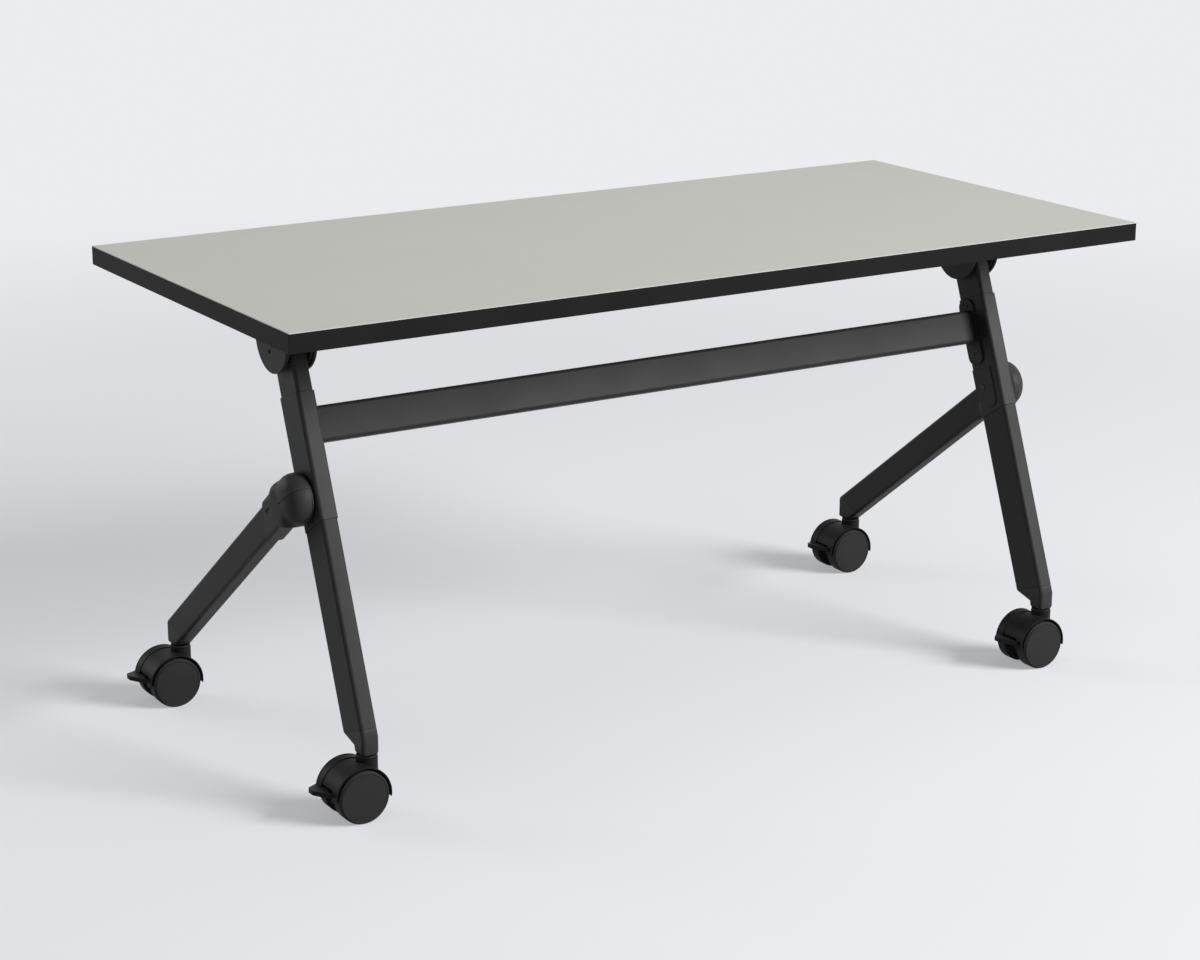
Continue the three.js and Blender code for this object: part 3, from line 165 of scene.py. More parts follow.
# Rear leg, down from the knuckle bolt
REAR_WIDTH = 28 * MM
REAR_DEPTH = 47 * MM
REAR_FOOT_OFFSET = 28 * MM
REAR_FOOT_END = 16 * MM
REAR_FOOT_SEAM = 38 * MM
REAR_FOOT_LIP = 5 * MM
DOME_RADIUS = 39.5 * MM
DOME_HEIGHT = 37.5 * MM
DOME_SWELL = 9 * MM
DOME_FULLNESS = 2.6
SEAT_FULLNESS = 6
COLLAR_FULLNESS = 9
COLLAR_PROUD = 2 * MM
COLLAR_RISE = 3 * MM
COLLAR_END_UPPER = 58 * MM
COLLAR_END_LOWER = 88 * MM
BLEND_START = 5 * MM
BLEND_END = 31 * MM
BLEND_FILLET = 3 * MM
CROWN_HOLE_DROP = 4.6 * MM
CROWN_HOLE_RADIUS = 1.7 * MM
GROOVE_WIDTH = 0.7 * MM
GROOVE_SHARE = 0.98
RIM_GROOVE_RISE = 5 * MM
NOTCH_DROP = 48 * MM
NOTCH_ACROSS = 8 * MM
NOTCH_SIZE = (3 * MM, 4 * MM, 13 * MM)
LOWER_SCREW_DROP = 65 * MM

# Crossbar and flanges, down from the hinge axis
BAR_HEIGHT = 54 * MM
BAR_DEPTH = 30 * MM
BAR_CORNER = 6 * MM
BAR_DROP = 132.6 * MM
BAR_BEHIND = 14.6 * MM
FLANGE_LENGTH = 110 * MM
FLANGE_DEPTH = 37 * MM
FLANGE_THICKNESS = 3 * MM
FLANGE_CORNER = 14 * MM
FLANGE_DROP = 141.4 * MM
FLANGE_BEHIND = 12.5 * MM
FLANGE_SCREWS = ((93.5 * MM, 19.6 * MM), (97.6 * MM, 8.6 * MM), (179 * MM, 13.6 * MM))

# Caster, from its axle
WHEEL_RADIUS = 40 * MM
WHEEL_INNER = 15 * MM
WHEEL_OUTER = 33 * MM
CAP_INSET = 2.4 * MM
CAP_PROUD = 3 * MM
CAP_CROWN = 1 * MM
CAP_BEAD = 0.4 * MM
CAP_BEAD_WIDTH = 2 * MM
CAP_STEP = 1.2 * MM
WHEEL_RECESS = 5 * MM
AXLE_RADIUS = 4 * MM
AXLE_DEPTH = 12 * MM
HOOD_WALL = 2.5 * MM
HOOD_RIM = 1.5 * MM
HOOD_RIM_WIDTH = 18 * MM
HOOD_LIP = 1.8 * MM
HOOD_LIP_DEPTH = 6 * MM
HOOD_SKIRT = 1.5 * MM
HOOD_SKIRT_AHEAD = 6.3 * MM
WEB_HALF = 14 * MM
WEB_END = 23 * MM
WEB_HUB_RADIUS = 14 * MM
BOSS_RADIUS = 16 * MM
BOSS_TOP = 49 * MM
STEM_RADIUS = 5.5 * MM
STEM_COLLAR_RADIUS = 15.5 * MM
LEVER_BARREL_RADIUS = 5 * MM
LEVER_WIDTH = 16 * MM
PEDAL_WIDTH = 50 * MM
PEDAL_GAP = 2 * MM
LEVER_TIP_WIDTH = 14 * MM
LEVER_TIP_CORNER = 2.5 * MM
LEVER_REACH = 45 * MM
LEVER_RISE = 9 * MM
LEVER_THICKNESS = 8 * MM
LEVER_TIP_THICKNESS = 7 * MM
LEVER_EDGE = 0.7 * MM
LEVER_SLOT_MARGIN = 8 * MM

# Steps of round faces
ROUND_STEPS = 96
PIN_STEPS = 32
CORNER_STEPS = 6

LEG_TILT = math.atan2(HINGE.y - FRONT_STEM_Y - FRONT_FOOT_OFFSET, HINGE.z - FOOT_HEIGHT)
REAR_TILT = math.atan2(REAR_STEM_Y + REAR_FOOT_OFFSET - PIVOT.y, PIVOT.z - FOOT_HEIGHT)
LEG_LENGTH = (HINGE.z - FOOT_HEIGHT) / math.cos(LEG_TILT)
FOOT_SEAM = LEG_LENGTH - FOOT_RISE
HEAD_TOP = UNDERSIDE - HINGE.z
CHEEK_OUTER = CHEEK_INNER + 2 * CHEEK_LAYER
UPPER_WIDTH = LEG_WIDTH + 2 * UPPER_PROUD
UPPER_DEPTH = LEG_DEPTH + 2 * UPPER_PROUD
REAR_OUTBOARD = REAR_LEG_X - LEG_X
HOOD_INNER = WHEEL_RADIUS + SWING_GAP
HOOD_OUTER = HOOD_INNER + HOOD_WALL
HOOD_RIM_RADIUS = HOOD_OUTER + HOOD_RIM
COLLAR_HALF_WIDTH = REAR_WIDTH / 2 + COLLAR_PROUD
COLLAR_HALF_DEPTH = REAR_DEPTH / 2 + COLLAR_RISE
DOME_BASE = UPPER_WIDTH / 2 + SEAT_GAP
LEVER_SLOT_WIDTH = LEVER_WIDTH + 2 * LEVER_SLOT_MARGIN
LEVER_SLOT_RISE = (
    LEVER_PIVOT.z - AXLE.z
    + LEVER_THICKNESS / 2
    + SWING_GAP
    + (HOOD_RIM_RADIUS - AXLE.x + LEVER_PIVOT.x) * LEVER_RISE / LEVER_REACH
)

AXIS_TURNS = {"X": (0, math.pi / 2, 0), "Y": (math.pi / 2, 0, 0), "Z": (0, 0, 0)}
AXIS_LINES = {"X": Vector((1, 0, 0)), "Y": Vector((0, 1, 0)), "Z": Vector((0, 0, 1))}
AXIS_SPOKES = {"X": Vector((0, 1, 0)), "Y": Vector((1, 0, 0)), "Z": Vector((1, 0, 0))}
SMOOTH_ANGLE = math.radians(35)


class TableSizes(bpy.types.PropertyGroup):
    """Sizes of the table's small forms."""

    leg_corner: FloatProperty(
        name="Leg Corner",
        description="Radius along the edges of the legs",
        default=5.5 * MM,
        unit="LENGTH",
    )
    cast_edge: FloatProperty(
        name="Casting Edge",
        description="Rounding of the sharp edges of castings",
        default=0.8 * MM,
        unit="LENGTH",
    )
    tube_edge: FloatProperty(
        name="Tube Edge",
        description="Rounding of the cut ends of tubes",
        default=0.3 * MM,
        unit="LENGTH",
    )
    band_edge: FloatProperty(
        name="Band Edge",
        description="Rounding of the edge bands of the top",
        default=0.5 * MM,
        unit="LENGTH",
    )
    moulded_edge: FloatProperty(
        name="Moulded Edge",
        description="Rounding of the moulded parts of a caster",
        default=0.5 * MM,
        unit="LENGTH",
    )
    screw_radius: FloatProperty(
        name="Screw Radius",
        description="Radius of the screw heads",
        default=3.2 * MM,
        unit="LENGTH",
    )


class TableFinishes(bpy.types.PropertyGroup):
    """Colours of the table's finishes."""

    laminate: FloatVectorProperty(
        name="Laminate",
        description="Colour of the work surface",
        default=(0.515, 0.515, 0.475),
        subtype="COLOR",
    )
    band: FloatVectorProperty(
        name="Edge Band",
        description="Colour of the bands on the edges of the top",
        default=(0.01, 0.01, 0.0103),
        subtype="COLOR",
    )
    coat: FloatVectorProperty(
        name="Powder Coat",
        description="Colour of the coated tubes",
        default=(0.028, 0.028, 0.0282),
        subtype="COLOR",
    )
    casting: FloatVectorProperty(
        name="Casting",
        description="Colour of the coated castings",
        default=(0.034, 0.034, 0.0342),
        subtype="COLOR",
    )
    plastic: FloatVectorProperty(
        name="Plastic",
        description="Colour of the hoods, caps and levers",
        default=(0.013, 0.013, 0.0133),
        subtype="COLOR",
    )
    tread: FloatVectorProperty(
        name="Tread",
        description="Colour of the wheels' treads",
        default=(0.022, 0.022, 0.0224),
        subtype="COLOR",
    )
    backdrop: FloatVectorProperty(
        name="Backdrop",
        description="Colour of the floor and the background",
        default=(0.83, 0.842, 0.875),
        subtype="COLOR",
    )


# Modelling steps


def deselect():
    """Leaves edit mode and selects nothing."""
    if bpy.context.mode != "OBJECT":
        bpy.ops.object.mode_set(mode="OBJECT")
    bpy.ops.object.select_all(action="DESELECT")


def activate(piece):
    """Selects one piece alone."""
    deselect()
    piece.select_set(True)
    bpy.context.view_layer.objects.active = piece


def apply_place(piece):
    """Puts a piece's place, turn and scale into its mesh."""
    activate(piece)
    bpy.ops.object.transform_apply(location=True, rotation=True, scale=True)
    return piece


def settle(piece, place, turn=(0, 0, 0)):
    """Turns a piece about the origin, moves it to its place and keeps that in its mesh."""
    piece.rotation_euler = turn
    piece.location = place
    return apply_place(piece)


def block(name, size, middle=(0, 0, 0), turn=(0, 0, 0)):
    """A box of a size about a place."""
    deselect()
    bpy.ops.mesh.primitive_cube_add(size=1, location=middle, rotation=turn)
    piece = bpy.context.object
    piece.name = name
    piece.scale = size
    return apply_place(piece)


def rod(name, radius, length, axis, middle=(0, 0, 0), steps=PIN_STEPS):
    """A round bar along an axis, about a place."""
    deselect()
    bpy.ops.mesh.primitive_cylinder_add(
        vertices=steps, radius=radius, depth=length, location=middle, rotation=AXIS_TURNS[axis]
    )
    piece = bpy.context.object
    piece.name = name
    return apply_place(piece)


def turned(name, profile, axis, middle=(0, 0, 0), steps=ROUND_STEPS):
    """A profile of (radius, along) points spun about an axis through a place."""
    spoke = AXIS_SPOKES[axis]
    line = AXIS_LINES[axis]
    points = [Vector(middle) + spoke * radius + line * along for radius, along in profile]
    deselect()
    bpy.ops.mesh.primitive_plane_add(size=MM, location=points[0])
    piece = apply_place(bpy.context.object)
    piece.name = name
    open_edit(piece, "VERT")
    bpy.ops.mesh.select_all(action="SELECT")
    bpy.ops.mesh.merge(type="CENTER")
    for start, end in zip(points, points[1:]):
        bpy.ops.mesh.extrude_region_move(TRANSFORM_OT_translate={"value": end - start})
    bpy.ops.mesh.select_all(action="SELECT")
    bpy.ops.mesh.spin(steps=steps, angle=2 * math.pi, center=middle, axis=line)
    bpy.ops.mesh.select_all(action="SELECT")
    bpy.ops.mesh.remove_doubles(threshold=0.01 * MM)
    bpy.ops.mesh.normals_make_consistent(inside=False)
    deselect()
    return piece


def open_edit(piece, kind):
    """Opens a piece in edit mode with nothing selected."""
    activate(piece)
    bpy.ops.object.mode_set(mode="EDIT")
    bpy.ops.mesh.select_mode(type=kind)
    bpy.ops.mesh.select_all(action="DESELECT")
    return bmesh.from_edit_mesh(piece.data)


def pick(piece, items, test):
    """Selects the faces or edges that pass a test."""
    for item in items:
        if test(item):
            item.select_set(True)
    bmesh.update_edit_mesh(piece.data)


def runs_along(axis):
    """A test for edges that run along an axis."""
    line = AXIS_LINES[axis]

    def test(edge):
        run = edge.verts[1].co - edge.verts[0].co
        return abs(run.dot(line)) > 0.999 * run.length

    return test


def faces_along(normal):
    """A test for faces that look one way."""
    direction = Vector(normal)
    return lambda face: face.normal.dot(direction) > 0.999


def round_edges(piece, test, radius, steps=CORNER_STEPS):
    """Rounds the edges that pass a test."""
    mesh = open_edit(piece, "EDGE")
    pick(piece, mesh.edges, test)
    bpy.ops.mesh.bevel(offset=radius, segments=steps, affect="EDGES")
    deselect()
    return piece


def cut_away(piece, place, normal):
    """Cuts off what lies past a plane, on the side that its normal points to, and closes the cut."""
    open_edit(piece, "FACE")
    bpy.ops.mesh.select_all(action="SELECT")
    bpy.ops.mesh.bisect(plane_co=place, plane_no=normal, use_fill=True, clear_outer=True)
    deselect()
    return piece


def combine(piece, operation, *tools):
    """Joins tools to a piece, cuts them from it or keeps what they share, one after another."""
    for tool in tools:
        activate(piece)
        step = piece.modifiers.new("combine", "BOOLEAN")
        step.operation = operation
        step.solver = "EXACT"
        step.object = tool
        bpy.ops.object.modifier_apply(modifier=step.name)
        bpy.data.objects.remove(tool)
    return piece


def unite(piece, *tools):
    return combine(piece, "UNION", *tools)


def subtract(piece, *tools):
    return combine(piece, "DIFFERENCE", *tools)


def shade(piece):
    """Shades a piece smooth between its sharp edges and keeps its flat faces flat."""
    activate(piece)
    bpy.ops.object.shade_smooth_by_angle(angle=SMOOTH_ANGLE)
    step = piece.modifiers.new("flat", "WEIGHTED_NORMAL")
    step.keep_sharp = True
    bpy.ops.object.modifier_apply(modifier=step.name)
    return piece


def merge_flats(piece):
    """Makes one face of the faces that lie in one plane."""
    open_edit(piece, "FACE")
    bpy.ops.mesh.select_all(action="SELECT")
    bpy.ops.mesh.remove_doubles(threshold=0.01 * MM)
    bpy.ops.mesh.dissolve_limited(angle_limit=math.radians(1))
    deselect()
    return piece


def ease(piece, width, steps=3):
    """Rounds every sharp edge of a piece a little and shades it."""
    activate(piece)
    step = piece.modifiers.new("ease", "BEVEL")
    step.width = width
    step.segments = steps
    step.limit_method = "ANGLE"
    step.angle_limit = SMOOTH_ANGLE
    bpy.ops.object.modifier_apply(modifier=step.name)
    return shade(piece)


def copy_of(piece, name):
    """A copy of a piece with a mesh of its own."""
    activate(piece)
    bpy.ops.object.duplicate(linked=False)
    made = bpy.context.object
    made.name = name
    return made


def skin(name, rings):
    """A closed skin over rings of points: the first ring filled, then drawn out from ring to ring."""
    deselect()
    bpy.ops.mesh.primitive_circle_add(vertices=len(rings[0]), fill_type="NGON")
    piece = bpy.context.object
    piece.name = name
    mesh = open_edit(piece, "FACE")
    mesh.verts.ensure_lookup_table()
    for vert, place in zip(mesh.verts, rings[0]):
        vert.co = place
    bpy.ops.mesh.select_all(action="SELECT")
    for ring in rings[1:]:
        bpy.ops.mesh.extrude_region_move(TRANSFORM_OT_translate={"value": (0, 0, 0)})
        mesh = bmesh.from_edit_mesh(piece.data)
        face = next(face for face in mesh.faces if face.select)
        for vert, place in zip(face.verts, ring):
            vert.co = place
        bmesh.update_edit_mesh(piece.data)
    bpy.ops.mesh.select_all(action="SELECT")
    bpy.ops.mesh.normals_make_consistent(inside=False)
    deselect()
    return piece


def slab(name, outline, low, high):
    """An outline of (y, z) points drawn out along X."""
    rings = [[Vector((x, y, z)) for y, z in outline] for x in (low, high)]
    return skin(name, rings)


def bar(name, width, depth, low, high, corner):
    """A bar up along Z with its long edges rounded."""
    piece = block(name, (width, depth, high - low), (0, 0, (low + high) / 2))
    return round_edges(piece, runs_along("Z"), corner)


def plug(name, width, depth, low, high, corner):
    """The end of a casting that fills the inside of a tube."""
    slack = 2 * (TUBE_WALL + SEAT_GAP)
    return bar(name, width - slack, depth - slack, low, high, corner - TUBE_WALL)


def hollow(piece, width, depth, corner, reach):
    """Cuts the inside out of a tube along Z."""
    inside = 2 * TUBE_WALL
    return subtract(piece, bar("inside", width - inside, depth - inside, -reach, reach, corner - TUBE_WALL))


def dress(piece, material, body, slot, *nodes):
    """Gives a finished piece its material and the body it rides on, and hides the nodes it stands for. The slot is
    not used.
    """
    piece.data.materials.clear()
    piece.data.materials.append(material)
    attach(piece, body)
    if nodes:
        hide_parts(*nodes)
    return piece


def paint(node, material):
    """Gives a CAD node a material."""
    part = frame["nodes"][node]
    part.data.materials.clear()
    part.data.materials.append(material)


# Materials


def start_material(name):
    """A new material, its node tree and its shader."""
    material = bpy.data.materials.new(name)
    material.use_nodes = True
    tree = material.node_tree
    return material, tree, tree.nodes["Principled BSDF"]


def grain(tree, scale, detail=2.0, stretch=(1, 1, 1)):
    """A noise pattern in metres, with about one blotch every 1 / scale."""
    place = tree.nodes.new("ShaderNodeTexCoord")
    mapping = tree.nodes.new("ShaderNodeMapping")
    mapping.inputs["Scale"].default_value = stretch
    texture = tree.nodes.new("ShaderNodeTexNoise")
    texture.inputs["Scale"].default_value = scale
    texture.inputs["Detail"].default_value = detail
    tree.links.new(place.outputs["Object"], mapping.inputs["Vector"])
    tree.links.new(mapping.outputs["Vector"], texture.inputs["Vector"])
    return texture.outputs["Fac"]


def tint(tree, pattern, colour, spread):
    """A colour that gets darker and lighter with a pattern."""
    ramp = tree.nodes.new("ShaderNodeValToRGB")
    low, high = ramp.color_ramp.elements
    low.position = 0.3
    high.position = 0.7
    low.color = (*(channel * (1 - spread) for channel in colour), 1)
    high.color = (*(channel * (1 + spread) for channel in colour), 1)
    tree.links.new(pattern, ramp.inputs["Fac"])
    return ramp.outputs["Color"]


def between(tree, pattern, low, high):
    """A number that follows a pattern between two values."""
    span = tree.nodes.new("ShaderNodeMapRange")
    span.inputs["From Min"].default_value = 0.3
    span.inputs["From Max"].default_value = 0.7
    span.inputs["To Min"].default_value = low
    span.inputs["To Max"].default_value = high
    tree.links.new(pattern, span.inputs["Value"])
    return span.outputs["Result"]


def relief(tree, shader, pattern, depth):
    """A fine relief of a depth, in metres."""
    bump = tree.nodes.new("ShaderNodeBump")
    bump.inputs["Strength"].default_value = 1
    bump.inputs["Distance"].default_value = depth
    tree.links.new(pattern, bump.inputs["Height"])
    tree.links.new(bump.outputs["Normal"], shader.inputs["Normal"])


def coated(name, colour, roughness, peel, depth, spread=0.1, shine=0.1):
    """A coat of colour with a fine relief, and broad soft changes of colour and gloss."""
    material, tree, shader = start_material(name)
    broad = grain(tree, 9)
    tree.links.new(tint(tree, broad, colour, spread), shader.inputs["Base Color"])
    tree.links.new(between(tree, broad, roughness - 0.04, roughness + 0.04), shader.inputs["Roughness"])
    shader.inputs["Specular IOR Level"].default_value = shine
    relief(tree, shader, grain(tree, peel), depth)
    return material


def powder_coat(name):
    return coated(name, bpy.context.scene.table_finishes.coat, 0.5, 900, 0.02 * MM)


def cast_coat(name):
    return coated(name, bpy.context.scene.table_finishes.casting, 0.46, 650, 0.03 * MM)


def moulded_plastic(name):
    return coated(name, bpy.context.scene.table_finishes.plastic, 0.42, 2200, 0.012 * MM, shine=0.06)


def wheel_tread(name):
    return coated(name, bpy.context.scene.table_finishes.tread, 0.58, 1600, 0.015 * MM)


def edge_band(name):
    return coated(name, bpy.context.scene.table_finishes.band, 0.52, 1500, 0.015 * MM, shine=0.06)


def backer_sheet(name):
    return coated(name, (0.03, 0.03, 0.031), 0.6, 500, 0.03 * MM, 0.2)


def core_board(name):
    """Pressed chips of wood."""
    material, tree, shader = start_material(name)
    chips = grain(tree, 420, 6.0)
    tree.links.new(tint(tree, chips, (0.4, 0.26, 0.13), 0.45), shader.inputs["Base Color"])
    shader.inputs["Roughness"].default_value = 0.9
    relief(tree, shader, chips, 0.1 * MM)
    return material


def grey_laminate(name):
    """A warm light grey sheet with a faint speckle and a fine matt relief."""
    material, tree, shader = start_material(name)
    colour = bpy.context.scene.table_finishes.laminate
    speckle = grain(tree, 650, 4.0)
    tree.links.new(tint(tree, speckle, colour, 0.035), shader.inputs["Base Color"])
    tree.links.new(between(tree, grain(tree, 5), 0.48, 0.54), shader.inputs["Roughness"])
    shader.inputs["Specular IOR Level"].default_value = 0.2
    relief(tree, shader, grain(tree, 2600), 0.006 * MM)
    return material


def steel(name, colour, roughness):
    """Drawn steel, with marks along its length."""
    material, tree, shader = start_material(name)
    marks = grain(tree, 900, 3.0, (0.05, 1, 1))
    tree.links.new(tint(tree, marks, colour, 0.12), shader.inputs["Base Color"])
    tree.links.new(between(tree, marks, roughness - 0.06, roughness + 0.06), shader.inputs["Roughness"])
    shader.inputs["Metallic"].default_value = 1
    relief(tree, shader, marks, 0.01 * MM)
    return material


def bare_steel(name):
    return steel(name, (0.5, 0.51, 0.52), 0.32)


def blackened_steel(name):
    return steel(name, (0.03, 0.03, 0.031), 0.45)


MAKERS = {
    "grey_laminate": grey_laminate,
    "edge_band": edge_band,
    "core_board": core_board,
    "backer": backer_sheet,
    "black_powder_coat": powder_coat,
    "black_casting": cast_coat,
    "blackened_steel": blackened_steel,
    "bare_steel": bare_steel,
    "black_plastic": moulded_plastic,
    "wheel_tread": wheel_tread,
}


def finish_of(slot):
    """The finish of a slot, made once."""
    name = f"finish_{slot}"
    return bpy.data.materials.get(name) or MAKERS[slot](name)


# Screws


def screw(name, radius):
    """A pan head with a cross recess, its underside on the origin and its top up along Z."""
    height = 0.7 * radius
    head = rod(name, radius, height, "Z", (0, 0, height / 2), PIN_STEPS)
    round_edges(head, lambda edge: min(vert.co.z for vert in edge.verts) > 0.99 * height, 0.45 * radius, 4)
    slot_size = (1.1 * radius, 0.22 * radius, height)
    cross = block("cross", slot_size, (0, 0, height))
    unite(cross, block("cross", slot_size, (0, 0, height), (0, 0, math.pi / 2)))
    subtract(head, cross)
    return shade(head)


def join_all(name, pieces):
    """Several pieces as one object."""
    activate(pieces[0])
    for piece in pieces[1:]:
        piece.select_set(True)
    bpy.ops.object.join()
    made = bpy.context.object
    made.name = name
    return made


# Table top


class TABLE_OT_work_surface(bpy.types.Operator):
    """Finish the laminate, core and backer of the top"""

    bl_idname = "table.work_surface"
    bl_label = "Work Surface"

    def execute(self, context):
        paint("top_laminate", finish_of("grey_laminate"))
        paint("top_core", finish_of("core_board"))
        paint("top_backer", finish_of("backer"))
        return {"FINISHED"}


class TABLE_OT_edge_bands(bpy.types.Operator):
    """Model the four bands on the edges of the top"""

    bl_idname = "table.edge_bands"
    bl_label = "Edge Bands"

    def execute(self, context):
        for edge in ("front", "rear", "left", "right"):
            node = f"edge_band_{edge}"
            low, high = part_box(node)
            piece = block(f"band_{edge}", high - low, (low + high) / 2)
            ease(piece, context.scene.table_sizes.band_edge)
            dress(piece, finish_of("edge_band"), "top", "edge_band", node)
        return {"FINISHED"}


# Tilt heads


def cheek(sign):
    """A stepped half disc below the hinge axis, run up to the plate."""
    middle = CHEEK_INNER + CHEEK_LAYER
    small = CHEEK_RADIUS - CHEEK_STEP
    profile = (
        (0, CHEEK_INNER),
        (small, CHEEK_INNER),
        (small, middle),
        (CHEEK_RADIUS, middle),
        (CHEEK_RADIUS, CHEEK_OUTER),
        (0, CHEEK_OUTER),
    )
    piece = turned("cheek", [(radius, sign * along) for radius, along in profile], "X")
    cut_away(piece, (0, 0, 0), (0, 0, 1))
    mesh = open_edit(piece, "FACE")
    pick(piece, mesh.faces, faces_along((0, 0, 1)))
    rise = HEAD_TOP - PLATE_THICKNESS / 2
    bpy.ops.mesh.extrude_region_move(TRANSFORM_OT_translate={"value": (0, 0, rise)})
    deselect()
    return piece


def tilt_head(name, side):
    """A mounting plate with two stepped cheeks, drawn about the hinge axis."""
    head = bar(name, PLATE_WIDTH, PLATE_LENGTH, HEAD_TOP - PLATE_THICKNESS, HEAD_TOP, PLATE_CORNER)
    pin_middle = (0, LATCH_PIN.y, LATCH_PIN.z)
    latch_pin = rod("latch_pin", LATCH_PIN_RADIUS, CHEEK_INNER + CHEEK_OUTER, "X", pin_middle)
    unite(head, cheek(-1), cheek(1), latch_pin)
    subtract(head, rod("bore", HINGE_PIN_RADIUS + PIN_CLEARANCE, PLATE_WIDTH, "X"))
    for y, z, radius in CHEEK_HOLES:
        subtract(head, rod("hole", radius, 3 * CHEEK_LAYER, "X", (side * CHEEK_OUTER, y, z)))
    return ease(merge_flats(head), bpy.context.scene.table_sizes.cast_edge)


def plate_screws(name):
    """Four screws up through the corners of a head's plate."""
    heads = []
    for x in (-PLATE_SCREW_X, PLATE_SCREW_X):
        for y in (-PLATE_SCREW_Y, PLATE_SCREW_Y):
            head = screw("screw", bpy.context.scene.table_sizes.screw_radius)
            settle(head, (x, y, HEAD_TOP - PLATE_THICKNESS), (math.pi, 0, 0))
            heads.append(head)
    return join_all(name, heads)


class TABLE_OT_tilt_heads(bpy.types.Operator):
    """Model the tilt heads under the top, with their hinge pins and screws"""

    bl_idname = "table.tilt_heads"
    bl_label = "Tilt Heads"

    def execute(self, context):
        for name, side in SIDES.items():
            place = (side * LEG_X, HINGE.y, HINGE.z)
            head = settle(tilt_head(f"head_{name}", side), place)
            dress(head, finish_of("black_casting"), "top", "black_casting", f"head_bracket_{name}")
            screws = settle(plate_screws(f"head_screws_{name}"), place)
            dress(screws, finish_of("blackened_steel"), "top", "blackened_steel")
            pin_length = 2 * (CHEEK_OUTER + HINGE_PIN_PROUD)
            pin = rod(f"pin_{name}", HINGE_PIN_RADIUS, pin_length, "X")
            ease(settle(pin, place), context.scene.table_sizes.cast_edge)
            dress(pin, finish_of("blackened_steel"), "frame", "blackened_steel", f"hinge_pin_{name}")
        return {"FINISHED"}


class TABLE_OT_latches(bpy.types.Operator):
    """Model the latch levers from their solids and finish their springs"""

    bl_idname = "table.latches"
    bl_label = "Latches"

    def execute(self, context):
        for name, side in SIDES.items():
            node = f"latch_lever_{name}"
            lever = frame["nodes"][node].copy()
            lever.data = lever.data.copy()
            lever.name = f"latch_{name}"
            lever.parent = None
            del lever["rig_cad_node"]
            context.scene.collection.objects.link(lever)
            merge_flats(lever)
            middle = (side * LEG_X, HINGE.y, HINGE.z)
            combine(lever, "INTERSECT", rod("reach", LATCH_REACH, PLATE_WIDTH, "X", middle, ROUND_STEPS))
            ease(lever, context.scene.table_sizes.moulded_edge)
            dress(lever, finish_of("black_plastic"), f"latch_{name}", "black_plastic", node)
            paint(f"latch_spring_{name}", finish_of("bare_steel"))
        return {"FINISHED"}


# Main legs, drawn about the hinge axis with Z up the leg and Y behind it


def neck(name):
    """The casting that carries the hinge pin."""
    corner = bpy.context.scene.table_sizes.leg_corner
    width = LEG_WIDTH - 2 * NECK_SHY
    depth = LEG_DEPTH - 2 * NECK_SHY
    proud = 2 * BAND_PROUD
    piece = bar(name, width, depth, -NECK_SEAM, -SHOULDER_DROP, corner)
    unite(
        piece,
        bar("band", width + proud, depth + proud, -SHOULDER_DROP - BAND_LENGTH, -SHOULDER_DROP, corner),
        hub_web(width, depth),
        rod("hub", HUB_RADIUS, width, "X", steps=ROUND_STEPS),
    )
    bore = rod("bore", HINGE_PIN_RADIUS + PIN_CLEARANCE, LEG_DEPTH, "X")
    subtract(piece, bore, *(hub_notch(flip) for flip in TOP_FLIP))
    return ease(merge_flats(piece), bpy.context.scene.table_sizes.cast_edge)


def tooth_outline():
    """The latch's tooth with slack round it, released and just off the hub, as (y, z) points from the hinge."""
    tip = HUB_RADIUS + SWING_GAP - TOOTH_SLACK
    root = HUB_RADIUS + SWING_GAP + TOOTH_LENGTH
    tip_half = TOOTH_TIP / 2 + TOOTH_SLACK
    root_half = TOOTH_ROOT / 2 + TOOTH_SLACK
    out = Vector((math.cos(TOOTH_ANGLE), math.sin(TOOTH_ANGLE)))
    aside = Vector((-out.y, out.x))
    corners = ((tip, tip_half), (tip, -tip_half), (root, -root_half), (root, root_half))
    return [out * along + aside * across for along, across in corners]


def hub_notch(flip):
    """What the tooth sweeps in the hub as it swings in, with the top turned by an angle."""
    pin = Vector((0, LATCH_PIN.y, LATCH_PIN.z))
    stages = []
    for stage in range(TOOTH_STAGES):
        swing = LATCH_THROW * (stage + 1) / TOOTH_STAGES
        tooth = slab("tooth", tooth_outline(), -LEG_WIDTH, LEG_WIDTH)
        settle(tooth, -pin)
        settle(tooth, pin, (swing, 0, 0))
        stages.append(settle(tooth, (0, 0, 0), (flip + LEG_TILT, 0, 0)))
    notch = join_all("notch", stages)
    open_edit(notch, "VERT")
    bpy.ops.mesh.select_all(action="SELECT")
    bpy.ops.mesh.convex_hull()
    deselect()
    return merge_flats(notch)


def hub_web(width, depth):
    """The tapering web between the hub and the shoulder."""
    web = block("web", (width, depth, SHOULDER_DROP), (0, 0, -SHOULDER_DROP / 2))
    mesh = open_edit(web, "FACE")
    pick(web, mesh.faces, faces_along((0, 0, 1)))
    bpy.ops.transform.resize(value=(1, 2 * HUB_RADIUS / depth, 1))
    deselect()
    return web


def leg_joint():
    """The slanted joint between the upper and the lower leg: a place and the normal that points up."""
    slope = Vector((0, UPPER_END_REAR - UPPER_END_FRONT, UPPER_DEPTH)).normalized()
    return Vector((0, 0, -(UPPER_END_FRONT + UPPER_END_REAR) / 2)), slope


